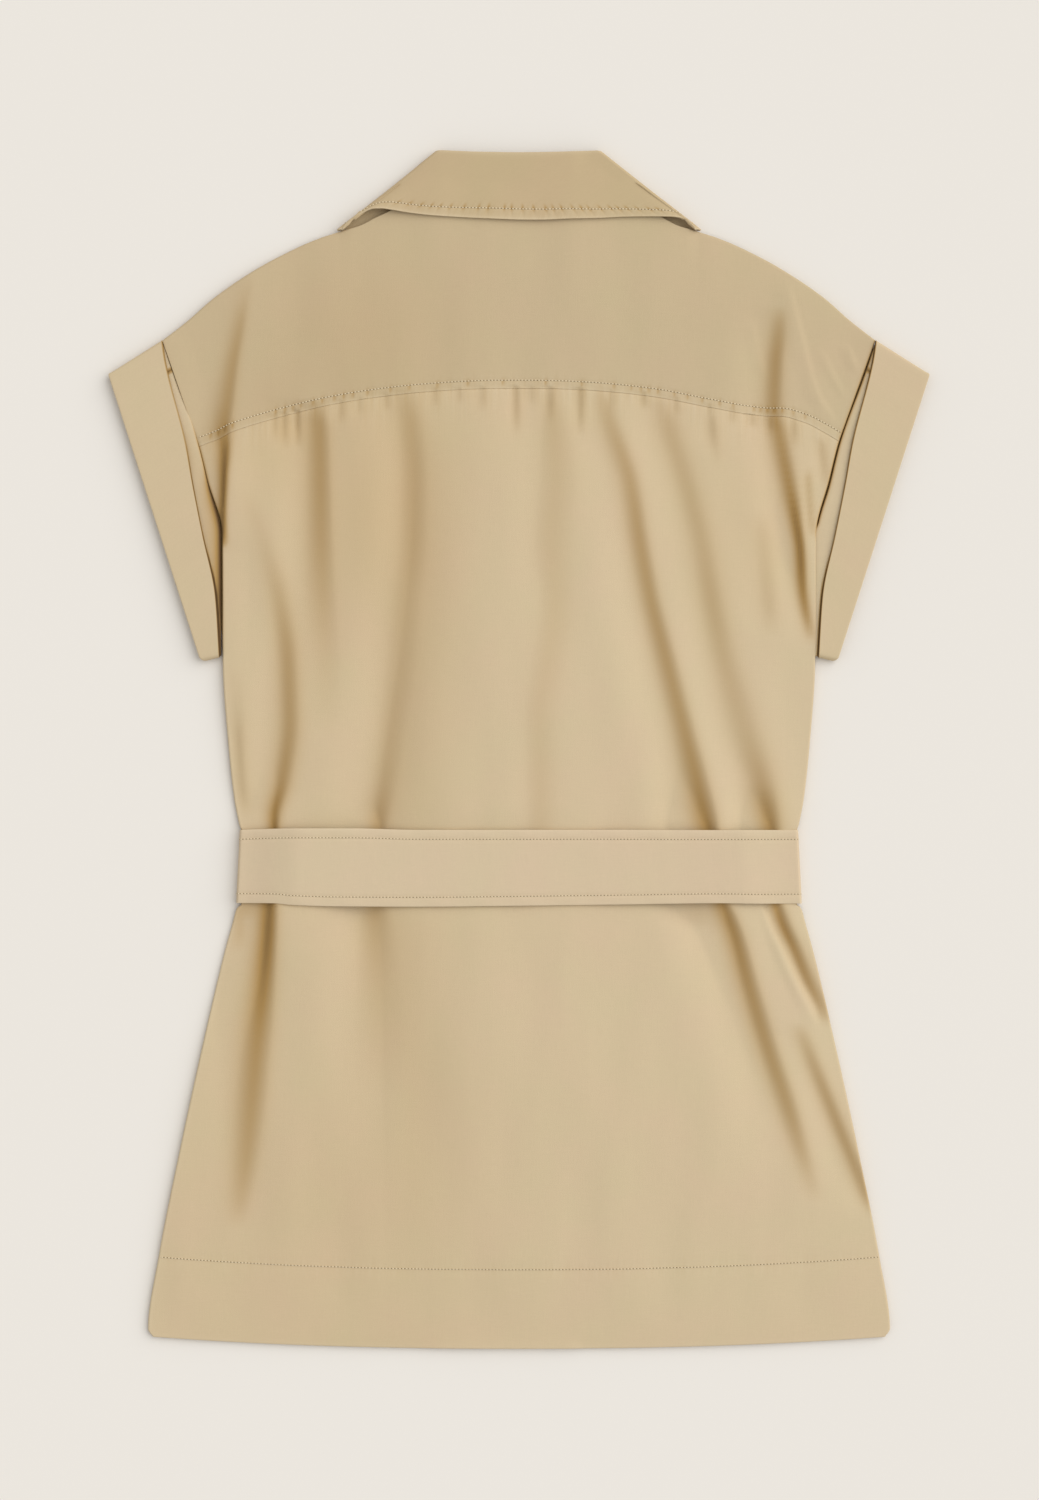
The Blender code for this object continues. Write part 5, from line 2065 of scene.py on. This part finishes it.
class Cut(NamedTuple):
    """What a piece of cloth was cut to: width, length and area, how it is held, and what it lies on."""

    width: float
    length: float
    area: float
    held: str
    rests_on: tuple[str, ...]


@dataclass
class Coat:
    """The whole coat: its pieces of cloth, their sewing and their finishes."""

    form: CoatForm
    armhole: Curve = Curve([(0.3064, 0.2675), (0.2824, 0.2595), (0.2300, 0.2405), (0.1990, 0.2328),
                            (0.1610, 0.2232), (0.1150, 0.2231), (0.0690, 0.2230)])
    cuff_edge: Curve = Curve([(0.3064, 0.2672), (0.2940, 0.2654), (0.2824, 0.2630), (0.2300, 0.2495),
                              (0.1990, 0.2440), (0.1610, 0.2365), (0.1150, 0.2270), (0.0690, 0.2240)])
    finishes: tuple[TwillCloth, ...] = (
        TwillCloth(Cloth.LENGTHWISE.value, colour=(0.627, 0.501, 0.323), deep=(0.462, 0.286, 0.103),
                   worn=(0.740, 0.620, 0.425)),
        TwillCloth(Cloth.CROSSWISE.value, colour=(0.576, 0.460, 0.291), deep=(0.424, 0.262, 0.095),
                   worn=(0.740, 0.620, 0.425)),
        TwillCloth(Cloth.BELTING.value, colour=(0.643, 0.510, 0.342), deep=(0.474, 0.294, 0.109),
                   worn=(0.750, 0.630, 0.440)),
    )
    cuts: ClassVar[dict[str, Cut]] = {
        "back_panel": Cut(0.556, 0.720, 0.330, "laid", ("front_left_cloth", "front_right_cloth")),
        "back_yoke": Cut(0.534, 0.172, 0.068, "laid", ("front_left_cloth", "front_right_cloth")),
        "front_right": Cut(0.298, 0.840, 0.200, "laid", ("floor",)),
        "front_left": Cut(0.298, 0.840, 0.200, "laid", ("front_right_cloth",)),
        "collar_fall": Cut(0.640, 0.080, 0.034, "folded", ("back_yoke_cloth",)),
        "collar_stand": Cut(0.200, 0.026, 0.0042, "folded", ("back_yoke_cloth",)),
        "sleeve_right": Cut(0.480, 0.075, 0.022, "laid", ("cuff_right_cloth",)),
        "sleeve_left": Cut(0.480, 0.075, 0.022, "laid", ("cuff_left_cloth",)),
        "cuff_right": Cut(0.480, 0.065, 0.018, "folded", ("floor",)),
        "cuff_left": Cut(0.480, 0.065, 0.018, "folded", ("floor",)),
        "belt": Cut(0.940, 0.057, 0.0530, "folded", ("back_panel_cloth",)),
    }
    seam_part: ClassVar[slice] = slice(4, -4)  # the points of a row that are sewn
    front_part: ClassVar[slice] = slice(2, -4)

    def pieces(self) -> list[ClothPiece]:
        """List the pieces of cloth in the order in which they are made.

        Returns:
            The pieces.
        """
        form = self.form
        made: list[ClothPiece] = [BackPanel(form), BackYoke(form), Front(form, Side.RIGHT),
                                  Front(form, Side.LEFT), CollarFall(form), CollarStand(form)]
        for side in Side:
            made.append(SleeveEnd(side, f"sleeve_{side.word}", self.armhole, floor=0.0015, inner_top=0.0051,
                                  hem_top=0.0051, hem_inset=0.0020, end_inset=0.0050, seam_drop=0.0008,
                                  seam_radius=0.0016, cap=0.005, cover=self.cuff_edge))
            made.append(SleeveEnd(side, f"cuff_{side.word}", self.cuff_edge, floor=0.0, inner_top=0.0072,
                                  hem_top=0.0066, fold_radius=0.0009, edge_wave=0.0002))
        made.append(Belt(form))
        return made

    def build(self) -> None:
        """Make every piece and sew the lines that show."""
        dyed = {Cloth(finish.name): finish.material() for finish in self.finishes}
        parts = self.pieces()
        built = {part.node: part.build(dyed[part.cloth]) for part in parts}
        sewing = self.sew({part.node: part for part in parts})

    def sew(self, parts: dict[str, ClothPiece]) -> dict[str, list[bpy.types.Object]]:
        """Sew the lines of topstitching.

        Args:
            parts: The built pieces by their nodes.

        Returns:
            The sewing of each piece that has some.
        """
        thread, hole = SewingThread().material(), NEEDLE_HOLE_SHADE.material()
        lines = {}
        for node in ("back_panel", "back_yoke", "collar_fall"):
            lines[node] = [sewn_row(parts[node], parts[node].stitch_row, self.seam_part)]
        lines["belt"] = [sewn_row(parts["belt"], row) for row in parts["belt"].stitch_rows]
        for side in Side:
            front = parts[f"front_{side.word}"]
            lines[front.node] = [sewn_row(front, front.stitch_row, self.front_part)]
        return {node: [Topstitching(f"stitching_{node}", parts[node].slot).build(rows, thread, hole)]
                for node, rows in lines.items()}


def main() -> None:
    """Build the coat and the studio round it."""
    logging.basicConfig(level=logging.INFO, format="%(asctime)s %(name)s: %(message)s")
    Studio().build()
    Coat(CoatForm()).build()


if __name__ == "__main__":
    main()
